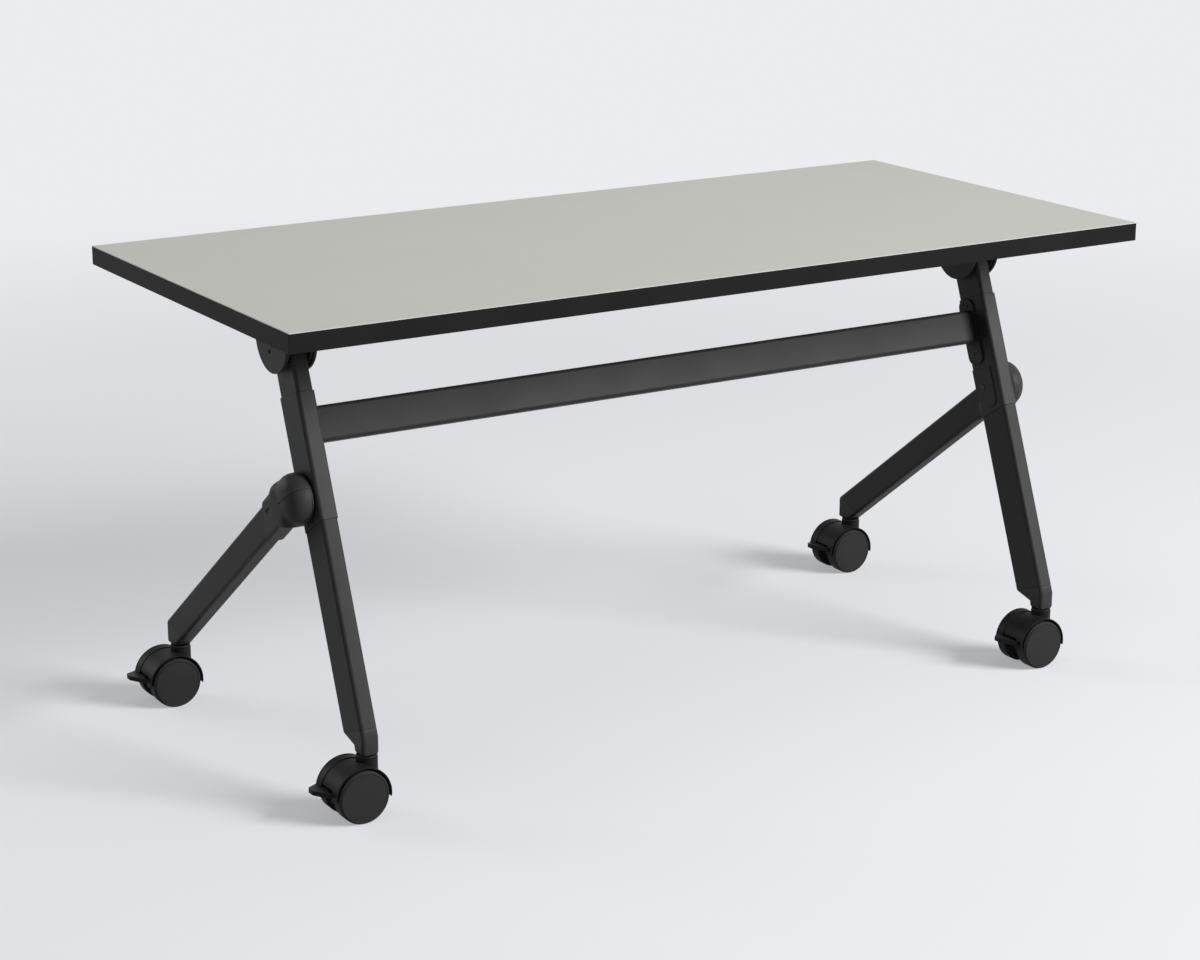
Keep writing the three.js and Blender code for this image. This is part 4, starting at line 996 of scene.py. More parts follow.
def upper_leg(name, side):
    """The casting that takes the neck, the crossbar, the rear leg and the lower leg."""
    corner = bpy.context.scene.table_sizes.leg_corner
    place, up = leg_joint()
    piece = bar(name, UPPER_WIDTH, UPPER_DEPTH, -2 * UPPER_END_REAR, -NECK_SEAM - SEAT_GAP, corner)
    cut_away(piece, place, -up)
    unite(
        piece,
        boss_plate(side),
        plug("plug", LEG_WIDTH, LEG_DEPTH, -UPPER_END_REAR - PLUG_LENGTH, -UPPER_END_FRONT, corner),
    )
    bolt_drop, bolt_behind = bolt_place()
    bolt_middle = (0, bolt_behind, -bolt_drop)
    subtract(piece, rod("bore", BOLT_RADIUS + SEAT_GAP, 2 * UPPER_WIDTH, "X", bolt_middle))
    seat_middle = (-side * (UPPER_WIDTH / 2 + BOSS_PLATE_RAISE), bolt_behind, -bolt_drop)
    seat_depth = 2 * (BOLT_HEAD_HEIGHT + SEAT_GAP)
    subtract(piece, rod("seat", BOLT_HEAD_RADIUS + SEAT_GAP, seat_depth, "X", seat_middle))
    return ease(piece, bpy.context.scene.table_sizes.cast_edge)


def bolt_place():
    """How far down the main leg, and behind its middle line, the knuckle bolt lies."""
    away = PIVOT - HINGE
    down = -away.y * math.sin(LEG_TILT) - away.z * math.cos(LEG_TILT)
    behind = away.y * math.cos(LEG_TILT) - away.z * math.sin(LEG_TILT)
    return down, behind


def boss_plate(side):
    """The raised plate round the bolt, straight above, with two round corners below."""
    piece = block(
        "raised",
        (2 * BOSS_PLATE_RAISE, BOSS_PLATE_FRONT + BOSS_PLATE_REAR, BOSS_PLATE_BOTTOM - BOSS_PLATE_TOP),
        (
            -side * UPPER_WIDTH / 2,
            (BOSS_PLATE_REAR - BOSS_PLATE_FRONT) / 2,
            -(BOSS_PLATE_TOP + BOSS_PLATE_BOTTOM) / 2,
        ),
    )
    lies_across = runs_along("X")
    middle = -(BOSS_PLATE_TOP + BOSS_PLATE_BOTTOM) / 2
    for behind, radius in ((-1, BOSS_PLATE_FRONT_CORNER), (1, BOSS_PLATE_REAR_CORNER)):

        def corner(edge, behind=behind):
            place = edge.verts[0].co
            outer = behind * place.y > BOSS_PLATE_FRONT - 0.01 * MM
            return lies_across(edge) and outer and place.z < middle

        round_edges(piece, corner, radius, ROUND_STEPS // 8)
    return piece


def lower_leg(name):
    """The tube between the upper leg and the front foot."""
    corner = bpy.context.scene.table_sizes.leg_corner
    place, up = leg_joint()
    piece = bar(name, LEG_WIDTH, LEG_DEPTH, -FOOT_SEAM + SEAT_GAP, 0, corner)
    cut_away(piece, place - up * SEAT_GAP, up)
    hollow(piece, LEG_WIDTH, LEG_DEPTH, corner, 2 * LEG_LENGTH)
    return ease(piece, bpy.context.scene.table_sizes.tube_edge, 2)


def leg_point(behind, drop):
    """The (y, z) place of a point behind the main leg's middle line and down from the hinge axis."""
    y = HINGE.y + behind * math.cos(LEG_TILT) - drop * math.sin(LEG_TILT)
    z = HINGE.z - behind * math.sin(LEG_TILT) - drop * math.cos(LEG_TILT)
    return y, z


def front_foot_outline():
    """The front foot from the side: seam, upright toe, level pad, short heel and slope."""
    toe = FRONT_STEM_Y - FOOT_PAD / 2
    heel = FRONT_STEM_Y + FOOT_PAD / 2
    front_y, front_z = leg_point(-LEG_DEPTH / 2, FOOT_SEAM)
    rear_y, rear_z = leg_point(LEG_DEPTH / 2, FOOT_SEAM)
    bend_z = front_z - (front_y - toe) / math.tan(LEG_TILT)
    heel_z = FOOT_HEIGHT + FOOT_HEEL_RISE
    rise = math.tan(FOOT_HEEL_SLOPE)
    lean = math.tan(LEG_TILT)
    slope_y = (rear_y + lean * (heel_z - rear_z - rise * heel)) / (1 - lean * rise)
    return (
        (front_y, front_z),
        (toe, bend_z),
        (toe, FOOT_HEIGHT),
        (heel, FOOT_HEIGHT),
        (heel, heel_z),
        (slope_y, heel_z + rise * (slope_y - heel)),
        (rear_y, rear_z),
    )


def front_foot(name, side):
    """The casting at the end of a main leg, cut level below, in its place."""
    outline = front_foot_outline()
    piece = slab(name, outline, side * LEG_X - LEG_WIDTH / 2, side * LEG_X + LEG_WIDTH / 2)
    seam = (Vector((0, *outline[0])), Vector((0, *outline[-1])))

    def at_seam(edge):
        across = (seam[1] - seam[0]).normalized()
        return all(abs((vert.co - seam[0]).cross(across).x) < 0.01 * MM for vert in edge.verts)

    def long_edge(edge):
        on_side = not runs_along("X")(edge)
        low = max(vert.co.z for vert in edge.verts) < FOOT_HEIGHT + 0.01 * MM
        return on_side and not low and not at_seam(edge)

    def pad_edge(edge):
        return max(vert.co.z for vert in edge.verts) < FOOT_HEIGHT + 0.01 * MM

    round_edges(piece, long_edge, bpy.context.scene.table_sizes.leg_corner)
    round_edges(piece, pad_edge, FOOT_CHAMFER, 2)
    stem_top = FOOT_HEIGHT + PLUG_LENGTH / 2
    bore_middle = (side * LEG_X, FRONT_STEM_Y, stem_top / 2)
    subtract(piece, rod("bore", STEM_RADIUS + SEAT_GAP, stem_top, "Z", bore_middle))
    return ease(piece, bpy.context.scene.table_sizes.cast_edge)


class TABLE_OT_main_legs(bpy.types.Operator):
    """Model the necks, upper legs, lower legs and front feet"""

    bl_idname = "table.main_legs"
    bl_label = "Main Legs"

    def execute(self, context):
        for name, side in SIDES.items():
            place = (side * LEG_X, HINGE.y, HINGE.z)
            turn = (-LEG_TILT, 0, 0)
            for piece, slot, node in (
                (neck(f"leg_neck_{name}"), "black_casting", f"neck_{name}"),
                (upper_leg(f"leg_upper_{name}", side), "black_casting", f"upper_leg_{name}"),
                (lower_leg(f"leg_lower_{name}"), "black_powder_coat", f"lower_leg_{name}"),
            ):
                dress(settle(piece, place, turn), finish_of(slot), "frame", slot, node)
            foot = front_foot(f"foot_front_{name}", side)
            dress(foot, finish_of("black_casting"), "frame", "black_casting", f"front_foot_{name}")
        return {"FINISHED"}


# Rear legs, drawn about the knuckle bolt with Z up the leg and Y on its upper side


def knuckle_quarter(drop, half, outward, fullness, dome):
    """A quarter of the knuckle's section, as (across, out) points from its side to its middle."""
    points = []
    steps = CORNER_STEPS * 3
    limit = math.pi / 2
    if dome:
        limit = math.acos((-drop / DOME_RADIUS) ** (fullness / 2))
    for step in range(steps + 1):
        turn = limit * step / steps
        radius = max(math.cos(turn), 0) ** (2 / fullness)
        across = half * radius
        if dome:
            across = math.sqrt(max((DOME_RADIUS * radius) ** 2 - drop ** 2, 0))
        points.append((across, outward * math.sin(turn) ** (2 / fullness)))
    return points


def knuckle_ring(side, drop):
    """The knuckle's section at a place down the rear leg: the dome above the bolt, the collar below."""
    share = min(max((drop - BLEND_START) / (BLEND_END - BLEND_START), 0), 1)
    eased = share * share * (3 - 2 * share)

    def mixed(dome, collar):
        return dome + (collar - dome) * eased

    middle = mixed(DOME_BASE + DOME_SWELL, REAR_OUTBOARD)
    round_half = math.sqrt(max(DOME_RADIUS ** 2 - drop ** 2, 0))
    apart = math.hypot(round_half - COLLAR_HALF_DEPTH, BLEND_FILLET * eased)
    half = (round_half + COLLAR_HALF_DEPTH + apart) / 2
    outer = knuckle_quarter(
        drop,
        half,
        mixed(DOME_HEIGHT - DOME_SWELL, COLLAR_HALF_WIDTH),
        mixed(DOME_FULLNESS, COLLAR_FULLNESS),
        drop < 0,
    )
    inner = knuckle_quarter(
        drop,
        half,
        -mixed(DOME_SWELL, COLLAR_HALF_WIDTH),
        mixed(SEAT_FULLNESS, COLLAR_FULLNESS),
        drop < 0,
    )
    outline = outer + [(-across, out) for across, out in outer[-2::-1]]
    outline += [(-across, out) for across, out in inner[1:]]
    outline += inner[-2:0:-1]
    return [Vector((side * (middle + out), across, -drop)) for across, out in outline]


def collar_end():
    """The slanted end of the collar: a place and the normal that points up the leg."""
    slant = COLLAR_END_LOWER - COLLAR_END_UPPER
    up = Vector((0, -slant, 2 * COLLAR_HALF_DEPTH)).normalized()
    return Vector((0, 0, -(COLLAR_END_UPPER + COLLAR_END_LOWER) / 2)), up


def rear_knuckle(name, side):
    """The cast dome and collar that hold the rear leg to the main leg."""
    dome_steps = 20
    blend_steps = 24
    drops = [-DOME_RADIUS * math.cos((step + 0.25) / dome_steps * math.pi / 2) for step in range(dome_steps)]
    drops += [BLEND_END * step / blend_steps for step in range(blend_steps + 1)]
    drops.append(2 * COLLAR_END_LOWER)
    piece = skin(name, [knuckle_ring(side, drop) for drop in drops])
    place, up = collar_end()
    cut_away(piece, place, -up)
    corner = bpy.context.scene.table_sizes.leg_corner
    end = plug("plug", REAR_WIDTH, REAR_DEPTH, -COLLAR_END_LOWER - PLUG_LENGTH, -COLLAR_END_UPPER, corner)
    unite(piece, settle(end, (side * REAR_OUTBOARD, 0, 0)))
    bolt_end = UPPER_WIDTH / 2 + BOLT_GRIP + SEAT_GAP
    subtract(piece, rod("bore", BOLT_RADIUS + SEAT_GAP, bolt_end, "X", (side * bolt_end / 2, 0, 0)))
    crown = side * (DOME_BASE + DOME_HEIGHT)
    collar_face = side * (REAR_OUTBOARD + COLLAR_HALF_WIDTH)
    lower_face = (side * REAR_OUTBOARD, -COLLAR_HALF_DEPTH, -LOWER_SCREW_DROP)
    subtract(
        piece,
        parting_line(piece, side),
        rim_line(piece, side),
        rod("crown", CROWN_HOLE_RADIUS, 2 * COLLAR_RISE, "X", (crown, 0, -CROWN_HOLE_DROP)),
        block("notch", NOTCH_SIZE, (collar_face, NOTCH_ACROSS, -NOTCH_DROP)),
        rod("lower", CROWN_HOLE_RADIUS, 2 * COLLAR_RISE, "Y", lower_face),
    )
    return shade(piece)


def dome_groove(knuckle, size, middle):
    """A thin plate round the dome, less a slightly smaller dome, for a fine line over it."""
    core = copy_of(knuckle, "core")
    core.scale = (GROOVE_SHARE, GROOVE_SHARE, GROOVE_SHARE)
    return subtract(block("groove", size, middle), apply_place(core))


def parting_line(knuckle, side):
    """The line that runs over the dome from its crown to its rim."""
    length = 1.2 * DOME_RADIUS
    size = (2 * DOME_HEIGHT, GROOVE_WIDTH, length)
    middle = (side * (DOME_BASE + RIM_GROOVE_RISE + DOME_HEIGHT), 0, length / 2 - CROWN_HOLE_DROP)
    return dome_groove(knuckle, size, middle)


def rim_line(knuckle, side):
    """The line round the dome near the leg."""
    size = (GROOVE_WIDTH, 4 * DOME_RADIUS, 2 * DOME_RADIUS)
    middle = (side * (DOME_BASE + RIM_GROOVE_RISE), 0, DOME_RADIUS - BLEND_START)
    return dome_groove(knuckle, size, middle)


def rear_height(y, offset):
    """The height of a line along the rear leg, off its middle line, at a place behind the table's middle."""
    return PIVOT.z + (offset - (y - PIVOT.y) * math.cos(REAR_TILT)) / math.sin(REAR_TILT)


def rear_seam():
    """The slanted seam between the rear tube and its foot: a place and the normal that points up the leg."""
    end = REAR_STEM_Y + REAR_FOOT_END
    start = REAR_STEM_Y - REAR_FOOT_SEAM
    top = Vector((0, end, rear_height(end, REAR_DEPTH / 2)))
    bottom = Vector((0, start, rear_height(start, -REAR_DEPTH / 2)))
    run = bottom - top
    return top, Vector((0, run.z, -run.y)).normalized()


def rear_bar(name, side, low, high):
    """A bar along the rear leg, in its place."""
    piece = bar(name, REAR_WIDTH, REAR_DEPTH, low, high, bpy.context.scene.table_sizes.leg_corner)
    return settle(piece, (side * REAR_LEG_X, PIVOT.y, PIVOT.z), (REAR_TILT, 0, 0))


def rear_tube(name, side):
    """The tube between the knuckle and the rear foot."""
    reach = 2 * LEG_LENGTH
    corner = bpy.context.scene.table_sizes.leg_corner
    piece = bar(name, REAR_WIDTH, REAR_DEPTH, -reach, 0, corner)
    place, up = collar_end()
    cut_away(piece, place - up * SEAT_GAP, up)
    settle(piece, (side * REAR_LEG_X, PIVOT.y, PIVOT.z), (REAR_TILT, 0, 0))
    place, up = rear_seam()
    cut_away(piece, place + up * SEAT_GAP, -up)
    inside = 2 * TUBE_WALL
    core = bar("inside", REAR_WIDTH - inside, REAR_DEPTH - inside, -reach, reach, corner - TUBE_WALL)
    settle(core, (side * REAR_LEG_X, PIVOT.y, PIVOT.z), (REAR_TILT, 0, 0))
    subtract(piece, core)
    return ease(piece, bpy.context.scene.table_sizes.tube_edge, 2)


def rear_foot(name, side):
    """The casting at the end of a rear leg, cut level below and upright behind."""
    piece = rear_bar(name, side, -2 * LEG_LENGTH, 0)
    place, up = rear_seam()
    cut_away(piece, place, up)
    cut_away(piece, (0, REAR_STEM_Y + REAR_FOOT_END, 0), (0, 1, 0))
    cut_away(piece, (0, 0, FOOT_HEIGHT), (0, 0, -1))
    toe = REAR_STEM_Y - FOOT_PAD / 2 - REAR_FOOT_LIP / 2
    cut_away(piece, (0, toe, FOOT_HEIGHT), (0, -2, -1))
    round_edges(piece, lambda edge: max(vert.co.z for vert in edge.verts) < FOOT_HEIGHT + 0.01 * MM, FOOT_CHAMFER, 2)
    stem_top = FOOT_HEIGHT + PLUG_LENGTH / 2
    stem = rod("bore", STEM_RADIUS + SEAT_GAP, stem_top, "Z", (side * REAR_LEG_X, REAR_STEM_Y, stem_top / 2))
    subtract(piece, stem)
    return ease(piece, bpy.context.scene.table_sizes.cast_edge)


class TABLE_OT_rear_legs(bpy.types.Operator):
    """Model the knuckles, rear tubes and rear feet, and finish the knuckle bolts"""

    bl_idname = "table.rear_legs"
    bl_label = "Rear Legs"

    def execute(self, context):
        for name, side in SIDES.items():
            knuckle = rear_knuckle(f"knuckle_{name}", side)
            settle(knuckle, (side * LEG_X, PIVOT.y, PIVOT.z), (REAR_TILT, 0, 0))
            dress(knuckle, finish_of("black_casting"), "frame", "black_casting", f"rear_knuckle_{name}")
            tube = rear_tube(f"leg_rear_{name}", side)
            dress(tube, finish_of("black_powder_coat"), "frame", "black_powder_coat", f"rear_leg_{name}")
            foot = rear_foot(f"foot_rear_{name}", side)
            dress(foot, finish_of("black_casting"), "frame", "black_casting", f"rear_foot_{name}")
            paint(f"knuckle_bolt_{name}", finish_of("blackened_steel"))
        return {"FINISHED"}


# Crossbar


def flange(name, side):
    """The plate at one end of the crossbar, against the upper leg."""
    inner = UPPER_WIDTH / 2 + SEAT_GAP
    middle = (-side * (inner + FLANGE_THICKNESS / 2), FLANGE_BEHIND, -FLANGE_DROP)
    piece = block(name, (FLANGE_THICKNESS, FLANGE_DEPTH, FLANGE_LENGTH), middle)
    round_edges(piece, runs_along("X"), FLANGE_CORNER)
    return ease(piece, bpy.context.scene.table_sizes.cast_edge)


def flange_screws(name, side):
    """The three screws of a flange."""
    face = UPPER_WIDTH / 2 + SEAT_GAP + FLANGE_THICKNESS
    heads = []
    for drop, behind in FLANGE_SCREWS:
        head = screw("screw", 0.7 * bpy.context.scene.table_sizes.screw_radius)
        settle(head, (-side * face, behind, -drop), (0, -side * math.pi / 2, 0))
        heads.append(head)
    return join_all(name, heads)


class TABLE_OT_crossbar(bpy.types.Operator):
    """Model the crossbar, its end flanges and their screws"""

    bl_idname = "table.crossbar"
    bl_label = "Crossbar"

    def execute(self, context):
        turn = (-LEG_TILT, 0, 0)
        low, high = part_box("crossbar")
        tube = block("cross_tube", (high.x - low.x, BAR_DEPTH, BAR_HEIGHT), (0, BAR_BEHIND, -BAR_DROP))
        round_edges(tube, runs_along("X"), BAR_CORNER)
        inside = 2 * TUBE_WALL
        core_size = (2 * (high.x - low.x), BAR_DEPTH - inside, BAR_HEIGHT - inside)
        core = block("inside", core_size, (0, BAR_BEHIND, -BAR_DROP))
        round_edges(core, runs_along("X"), BAR_CORNER - TUBE_WALL)
        subtract(tube, core)
        ease(tube, context.scene.table_sizes.tube_edge, 2)
        settle(tube, (0, HINGE.y, HINGE.z), turn)
        dress(tube, finish_of("black_powder_coat"), "frame", "black_powder_coat", "crossbar")
        for name, side in SIDES.items():
            place = (side * LEG_X, HINGE.y, HINGE.z)
            plate = settle(flange(f"flange_{name}", side), place, turn)
            dress(plate, finish_of("black_powder_coat"), "frame", "black_powder_coat", f"bar_flange_{name}")
            screws = settle(flange_screws(f"flange_screws_{name}", side), place, turn)
            dress(screws, finish_of("blackened_steel"), "frame", "blackened_steel")
        return {"FINISHED"}


# Casters, drawn about the axle


def wheel(name):
    """A wheel whose outer face looks along +Y: a domed cap with a bead, a tread and a bore."""
    outer = WHEEL_OUTER + CAP_PROUD
    cap = WHEEL_RADIUS - CAP_INSET
    disc = cap - CAP_BEAD_WIDTH
    steps = 2 * CORNER_STEPS
    profile = []
    for step in range(steps + 1):
        share = step / steps
        profile.append((disc * share, outer + CAP_CROWN * (1 - share * share)))
    profile += [
        (disc, outer - CAP_BEAD),
        (disc + 0.4 * CAP_BEAD_WIDTH, outer + CAP_BEAD),
        (disc + 0.6 * CAP_BEAD_WIDTH, outer + CAP_BEAD),
        (cap, outer - CAP_BEAD),
    ]
    tread_edge = outer - CAP_STEP - CAP_INSET
    for step in range(steps + 1):
        turn = step / steps * math.pi / 2
        profile.append((cap + CAP_INSET * math.sin(turn), tread_edge + CAP_INSET * math.cos(turn)))
    hub_radius = 2.5 * AXLE_RADIUS
    web = WHEEL_INNER + WHEEL_RECESS
    profile += [
        (WHEEL_RADIUS, WHEEL_INNER + MM),
        (WHEEL_RADIUS - MM, WHEEL_INNER),
        (WHEEL_RADIUS - 6 * MM, WHEEL_INNER),
        (WHEEL_RADIUS - 7 * MM, web),
        (hub_radius + MM, web),
        (hub_radius, WHEEL_INNER),
        (AXLE_RADIUS + PIN_CLEARANCE, WHEEL_INNER),
        (AXLE_RADIUS + PIN_CLEARANCE, WHEEL_INNER + AXLE_DEPTH + SEAT_GAP),
        (0, WHEEL_INNER + AXLE_DEPTH + SEAT_GAP),
    ]
    return shade(turned(name, profile, "Y"))


class TABLE_OT_wheels(bpy.types.Operator):
    """Model a wheel and copy it to the eight places"""

    bl_idname = "table.wheels"
    bl_label = "Wheels"

    def execute(self, context):
        pattern = wheel("pattern")
        for caster in CASTERS:
            for number, turn in ((1, math.pi), (2, 0)):
                place = joint_place(f"wheel_{number}_{caster}_spin")
                hub = (place.x, joint_place(f"caster_{caster}_swivel").y, place.z)
                piece = settle(copy_of(pattern, f"tread_{number}_{caster}"), hub, (0, 0, turn))
                body = f"wheel_{number}_{caster}_body"
                dress(piece, finish_of("wheel_tread"), body, "wheel_tread", f"wheel_{number}_{caster}")
            paint(f"caster_axle_{caster}", finish_of("bare_steel"))
        bpy.data.objects.remove(pattern)
        return {"FINISHED"}


def hood_drum(name):
    """The hood's half drum over both wheels, with a raised ring and a thin lip at each end."""
    rim = HOOD_RIM_RADIUS
    bead = HOOD_OUTER + HOOD_RIM / 2
    lip = rim - HOOD_LIP
    start = WHEEL_OUTER - HOOD_RIM_WIDTH
    recess = WHEEL_OUTER - HOOD_LIP_DEPTH
    half = [
        (HOOD_INNER, recess - MM),
        (lip, recess),
        (lip, WHEEL_OUTER),
        (rim - 0.5 * MM, WHEEL_OUTER),
        (rim, WHEEL_OUTER - 0.5 * MM),
        (rim, WHEEL_OUTER - 2.5 * MM),
        (rim - 0.4 * MM, WHEEL_OUTER - 2.8 * MM),
        (rim - 0.4 * MM, start + 2.2 * MM),
        (bead, start + 1.6 * MM),
        (bead - 0.9 * MM, start + 0.8 * MM),
        (HOOD_OUTER, start),
    ]
    mirrored = [(radius, -along) for radius, along in reversed(half)]
    piece = turned(name, half + mirrored + half[:1], "Y")
    edge = Vector((HOOD_SKIRT_AHEAD - HOOD_SKIRT, 0, 2 * rim)).normalized()
    return cut_away(piece, (-rim, 0, -HOOD_SKIRT), -edge)


def hood_web():
    """The web between the wheels, round the axle."""
    radius = HOOD_INNER + HOOD_WALL / 2
    web = rod("web", radius, 2 * WEB_HALF, "Y", steps=ROUND_STEPS)
    cut_away(web, (0, 0, 0), (0, 0, -1))
    cut_away(web, (-WEB_END, 0, 0), (-1, 0, 0))
    return unite(web, rod("hub", WEB_HUB_RADIUS, 2 * WEB_HALF, "Y"))


def hood(name):
    """A caster's hood, drawn about its axle."""
    piece = hood_drum(name)
    boss_low = WHEEL_RADIUS / 2
    boss = rod("boss", BOSS_RADIUS, BOSS_TOP - boss_low, "Z", (TRAIL, 0, (BOSS_TOP + boss_low) / 2), ROUND_STEPS)
    for sign in (-1, 1):
        room_middle = (0, sign * (WEB_HALF + WHEEL_OUTER), 0)
        subtract(boss, rod("room", HOOD_INNER, 2 * WHEEL_OUTER, "Y", room_middle, ROUND_STEPS))
    unite(piece, hood_web(), boss)
    subtract(piece, rod("axle", AXLE_RADIUS + SEAT_GAP, 4 * WHEEL_OUTER, "Y"))
    lever = LEVER_PIVOT - AXLE
    seat_middle = (lever.x, 0, lever.z)
    slot_height = 2 * LEVER_SLOT_RISE
    slot = block(
        "slot",
        (WHEEL_RADIUS, LEVER_SLOT_WIDTH, slot_height),
        (lever.x - LEVER_BARREL_RADIUS - WHEEL_RADIUS / 2, 0, LEVER_SLOT_RISE - slot_height / 2),
    )
    subtract(piece, rod("seat", LEVER_BARREL_RADIUS + PIN_CLEARANCE, 2 * WHEEL_INNER, "Y", seat_middle), slot)
    return ease(piece, bpy.context.scene.table_sizes.moulded_edge, 2)


def stem(name):
    """A caster's stem and the collar under its foot, about the floor below it."""
    boss_top = AXLE.z + BOSS_TOP
    profile = [
        (0, boss_top - 27 * MM),
        (STEM_RADIUS, boss_top - 27 * MM),
        (STEM_RADIUS, boss_top + SEAT_GAP),
        (STEM_COLLAR_RADIUS, boss_top + SEAT_GAP),
        (STEM_COLLAR_RADIUS, FOOT_HEIGHT - SEAT_GAP),
        (STEM_RADIUS, FOOT_HEIGHT - SEAT_GAP),
        (STEM_RADIUS, FOOT_HEIGHT + PLUG_LENGTH / 2),
        (0, FOOT_HEIGHT + PLUG_LENGTH / 2),
    ]
    return ease(turned(name, profile, "Z", steps=PIN_STEPS), bpy.context.scene.table_sizes.moulded_edge, 2)


def brake_lever(name):
    """A caster's brake lever, drawn about its barrel: a neck and, outside the hood, a pedal."""
    slope = LEVER_RISE / LEVER_REACH
    root = HOOD_RIM_RADIUS + PEDAL_GAP - AXLE.x + LEVER_PIVOT.x
    length = LEVER_REACH - root
    taper = (LEVER_THICKNESS - LEVER_TIP_THICKNESS) / LEVER_REACH
    thick = LEVER_THICKNESS - taper * root
    pedal = block("pedal", (length, PEDAL_WIDTH, thick), (-root - length / 2, 0, root * slope))
    mesh = open_edit(pedal, "FACE")
    pick(pedal, mesh.faces, faces_along((-1, 0, 0)))
    bpy.ops.transform.translate(value=(0, 0, length * slope))
    bpy.ops.transform.resize(value=(1, LEVER_TIP_WIDTH / PEDAL_WIDTH, LEVER_TIP_THICKNESS / thick))
    deselect()

    def upright_at_tip(edge):
        return runs_along("Z")(edge) and edge.verts[0].co.x < -0.99 * LEVER_REACH

    round_edges(pedal, upright_at_tip, LEVER_TIP_CORNER)
    neck_run = 1.5 * root
    throat = block("throat", (neck_run, LEVER_WIDTH, LEVER_THICKNESS), (-neck_run / 2, 0, 0))
    mesh = open_edit(throat, "FACE")
    pick(throat, mesh.faces, faces_along((-1, 0, 0)))
    bpy.ops.transform.translate(value=(0, 0, neck_run * slope))
    bpy.ops.transform.resize(value=(1, 1, 0.8))
    deselect()
    barrel = rod(name, LEVER_BARREL_RADIUS, LEVER_WIDTH, "Y", steps=ROUND_STEPS)
    unite(barrel, throat, pedal)
    return ease(barrel, LEVER_EDGE)


class TABLE_OT_casters(bpy.types.Operator):
    """Model a hood, a stem and a brake lever and copy them to the four casters"""

    bl_idname = "table.casters"
    bl_label = "Casters"

    def execute(self, context):
        hood_pattern = hood("hood_pattern")
        stem_pattern = stem("stem_pattern")
        lever_pattern = brake_lever("lever_pattern")
        for caster in CASTERS:
            foot = joint_place(f"caster_{caster}_swivel")
            axle = joint_place(f"wheel_1_{caster}_spin")
            cover = settle(copy_of(hood_pattern, f"hood_{caster}"), (axle.x, foot.y, axle.z))
            dress(cover, finish_of("black_plastic"), f"caster_{caster}", "black_plastic", f"caster_hood_{caster}")
            shaft = settle(copy_of(stem_pattern, f"stem_{caster}"), (foot.x, foot.y, 0))
            dress(shaft, finish_of("blackened_steel"), "frame", "blackened_steel", f"caster_stem_{caster}")
            pedal = settle(copy_of(lever_pattern, f"lever_{caster}"), joint_place(f"brake_{caster}_press"))
            dress(pedal, finish_of("black_plastic"), f"brake_{caster}", "black_plastic", f"brake_lever_{caster}")
        for pattern in (hood_pattern, stem_pattern, lever_pattern):
            bpy.data.objects.remove(pattern)
        return {"FINISHED"}


# Stage

CAMERA_PLACE = (-2.334, -3.724, 1.599)
CAMERA_YAW = math.radians(31.57)
CAMERA_PITCH = math.radians(16.08)
CAMERA_LENS = 85.09
CAMERA_SENSOR = 36


def camera():
    """The camera at the photo's viewing angle."""
    deselect()
    turn = (math.pi / 2 - CAMERA_PITCH, 0, -CAMERA_YAW)
    bpy.ops.object.camera_add(location=CAMERA_PLACE, rotation=turn)
    made = bpy.context.object
    made.data.lens = CAMERA_LENS
    made.data.sensor_width = CAMERA_SENSOR
    bpy.context.scene.camera = made


def lamp(name, place, size, power):
    """A soft square light that looks at the table."""
    deselect()
    bpy.ops.object.light_add(type="AREA", location=place)
    made = bpy.context.object
    made.name = name
    made.data.shape = "SQUARE"
    made.data.size = size
    made.data.energy = power
    aim = Vector((0, 0, 0.4)) - Vector(place)
    made.rotation_euler = aim.to_track_quat("-Z", "Y").to_euler()


def seen_directly(tree):
    """A number that is 1 where the camera, a mirror or glass looks, and 0 where light is gathered."""
    path = tree.nodes.new("ShaderNodeLightPath")
    total = path.outputs["Is Camera Ray"]
    for ray in ("Is Glossy Ray", "Is Transmission Ray"):
        either = tree.nodes.new("ShaderNodeMath")
        either.operation = "MAXIMUM"
        tree.links.new(total, either.inputs[0])
        tree.links.new(path.outputs[ray], either.inputs[1])
        total = either.outputs["Value"]
    return total


def mixed_shader(tree, share, first, second):
    """A mix of two shaders."""
    mix = tree.nodes.new("ShaderNodeMixShader")
    tree.links.new(share, mix.inputs["Fac"])
    tree.links.new(first, mix.inputs[1])
    tree.links.new(second, mix.inputs[2])
    return mix.outputs["Shader"]


def far_away(tree):
    """A number that rises from a low share near the table to 1 far from it."""
    place = tree.nodes.new("ShaderNodeTexCoord")
    distance = tree.nodes.new("ShaderNodeVectorMath")
    distance.operation = "LENGTH"
    fade = tree.nodes.new("ShaderNodeMapRange")
    fade.interpolation_type = "SMOOTHSTEP"
    fade.inputs["From Min"].default_value = 1.6
    fade.inputs["From Max"].default_value = 4.5
    fade.inputs["To Min"].default_value = 0.4
    tree.links.new(place.outputs["Object"], distance.inputs[0])
    tree.links.new(distance.outputs["Value"], fade.inputs["Value"])
    return fade.outputs["Result"]


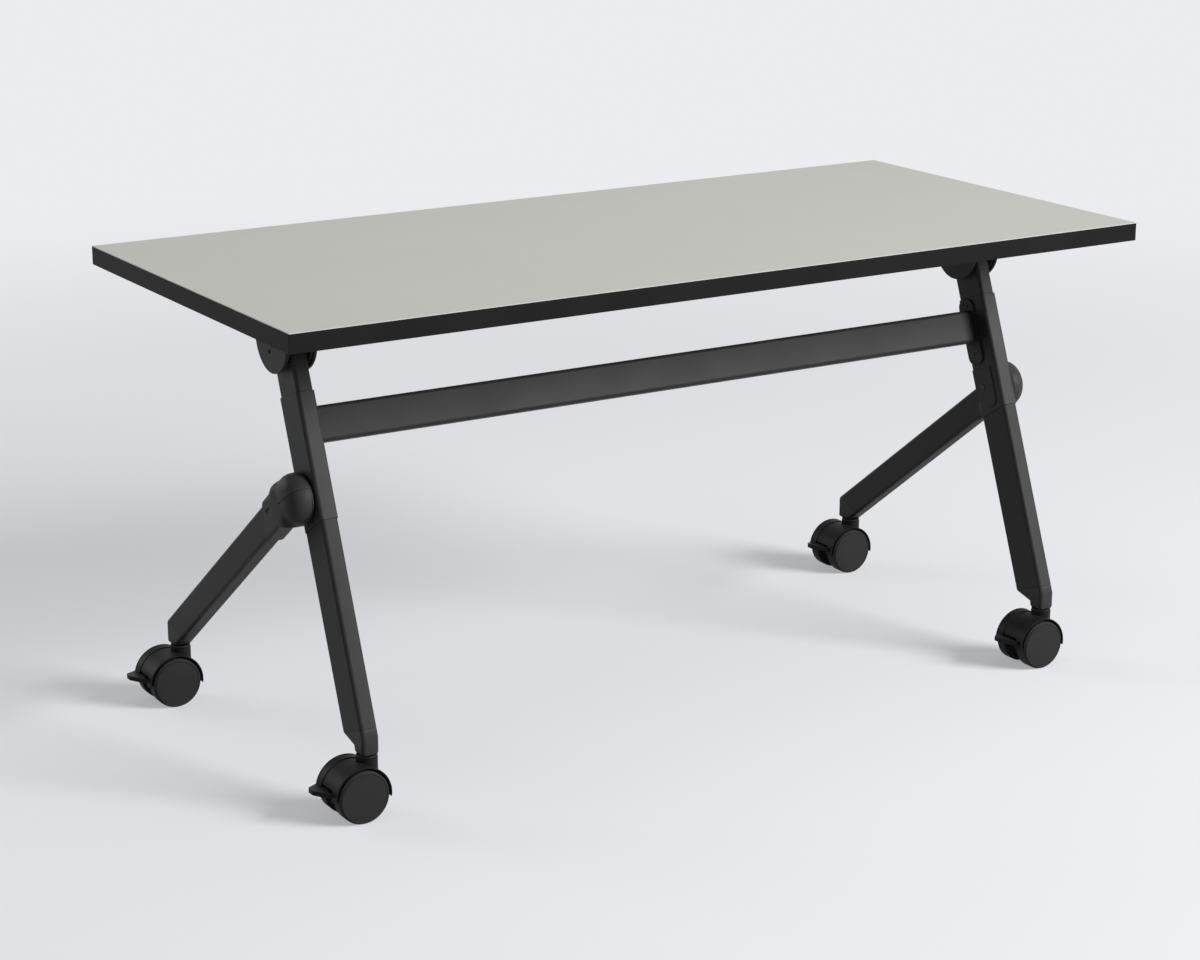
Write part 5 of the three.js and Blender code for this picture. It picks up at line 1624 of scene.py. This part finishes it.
def floor():
    """A wide pale floor that takes the shadow, fades into the background and throws little light back."""
    deselect()
    bpy.ops.mesh.primitive_circle_add(vertices=128, radius=30, fill_type="NGON")
    made = bpy.context.object
    made.name = "floor"
    material, tree, shader = start_material("floor")
    colour = (*bpy.context.scene.table_finishes.backdrop, 1)
    shader.inputs["Base Color"].default_value = colour
    shader.inputs["Roughness"].default_value = 0.7
    shader.inputs["Specular IOR Level"].default_value = 0.04
    made.data.materials.append(material)
    glow = tree.nodes.new("ShaderNodeEmission")
    glow.inputs["Color"].default_value = colour
    dull = tree.nodes.new("ShaderNodeBsdfDiffuse")
    dull.inputs["Color"].default_value = (0.3, 0.3, 0.3, 1)
    pale = mixed_shader(tree, far_away(tree), shader.outputs["BSDF"], glow.outputs["Emission"])
    whole = mixed_shader(tree, seen_directly(tree), dull.outputs["BSDF"], pale)
    tree.links.new(whole, tree.nodes["Material Output"].inputs["Surface"])


def surroundings():
    """Soft light from all round, with the plain backdrop where the camera and mirrors look."""
    world = bpy.data.worlds.new("surroundings")
    world.use_nodes = True
    bpy.context.scene.world = world
    tree = world.node_tree
    light = tree.nodes["Background"]
    light.inputs["Color"].default_value = (1, 1, 1, 1)
    light.inputs["Strength"].default_value = 0.15
    seen = tree.nodes.new("ShaderNodeBackground")
    seen.inputs["Color"].default_value = (*bpy.context.scene.table_finishes.backdrop, 1)
    whole = mixed_shader(tree, seen_directly(tree), light.outputs["Background"], seen.outputs["Background"])
    tree.links.new(whole, tree.nodes["World Output"].inputs["Surface"])


class TABLE_OT_stage(bpy.types.Operator):
    """Set the camera, the lights, the floor and the background"""

    bl_idname = "table.stage"
    bl_label = "Stage"

    def execute(self, context):
        camera()
        floor()
        surroundings()
        lamp("key", (5.06, -7.02, 4.62), 4.2, 1310)
        lamp("fill", (-3.6, 4.5, 2.2), 2.6, 75)
        lamp("ceiling", (0, -0.3, 3.2), 2.5, 12)
        context.scene.view_settings.view_transform = "Standard"
        return {"FINISHED"}


PIECE_OPERATORS = (
    TABLE_OT_work_surface,
    TABLE_OT_edge_bands,
    TABLE_OT_tilt_heads,
    TABLE_OT_latches,
    TABLE_OT_main_legs,
    TABLE_OT_rear_legs,
    TABLE_OT_crossbar,
    TABLE_OT_wheels,
    TABLE_OT_casters,
    TABLE_OT_stage,
)


class TABLE_PT_builder(bpy.types.Panel):
    """The table's pieces, in the order that they are made"""

    bl_idname = "TABLE_PT_builder"
    bl_label = "Flip Top Table"
    bl_space_type = "VIEW_3D"
    bl_region_type = "UI"
    bl_category = "Table"

    def draw(self, context):
        for group in (context.scene.table_sizes, context.scene.table_finishes):
            for name in group.__annotations__:
                self.layout.prop(group, name)
        for operator in PIECE_OPERATORS:
            self.layout.operator(operator.bl_idname)


CLASSES = (TableSizes, TableFinishes, *PIECE_OPERATORS, TABLE_PT_builder)


def register():
    for item in CLASSES:
        bpy.utils.register_class(item)
    bpy.types.Scene.table_sizes = PointerProperty(type=TableSizes)
    bpy.types.Scene.table_finishes = PointerProperty(type=TableFinishes)


def unregister():
    del bpy.types.Scene.table_finishes
    del bpy.types.Scene.table_sizes
    for item in reversed(CLASSES):
        bpy.utils.unregister_class(item)


def main():
    register()
    bpy.ops.table.work_surface()
    bpy.ops.table.edge_bands()
    bpy.ops.table.tilt_heads()
    bpy.ops.table.latches()
    bpy.ops.table.main_legs()
    bpy.ops.table.rear_legs()
    bpy.ops.table.crossbar()
    bpy.ops.table.wheels()
    bpy.ops.table.casters()
    bpy.ops.table.stage()
    deselect()


if __name__ == "__main__":
    main()
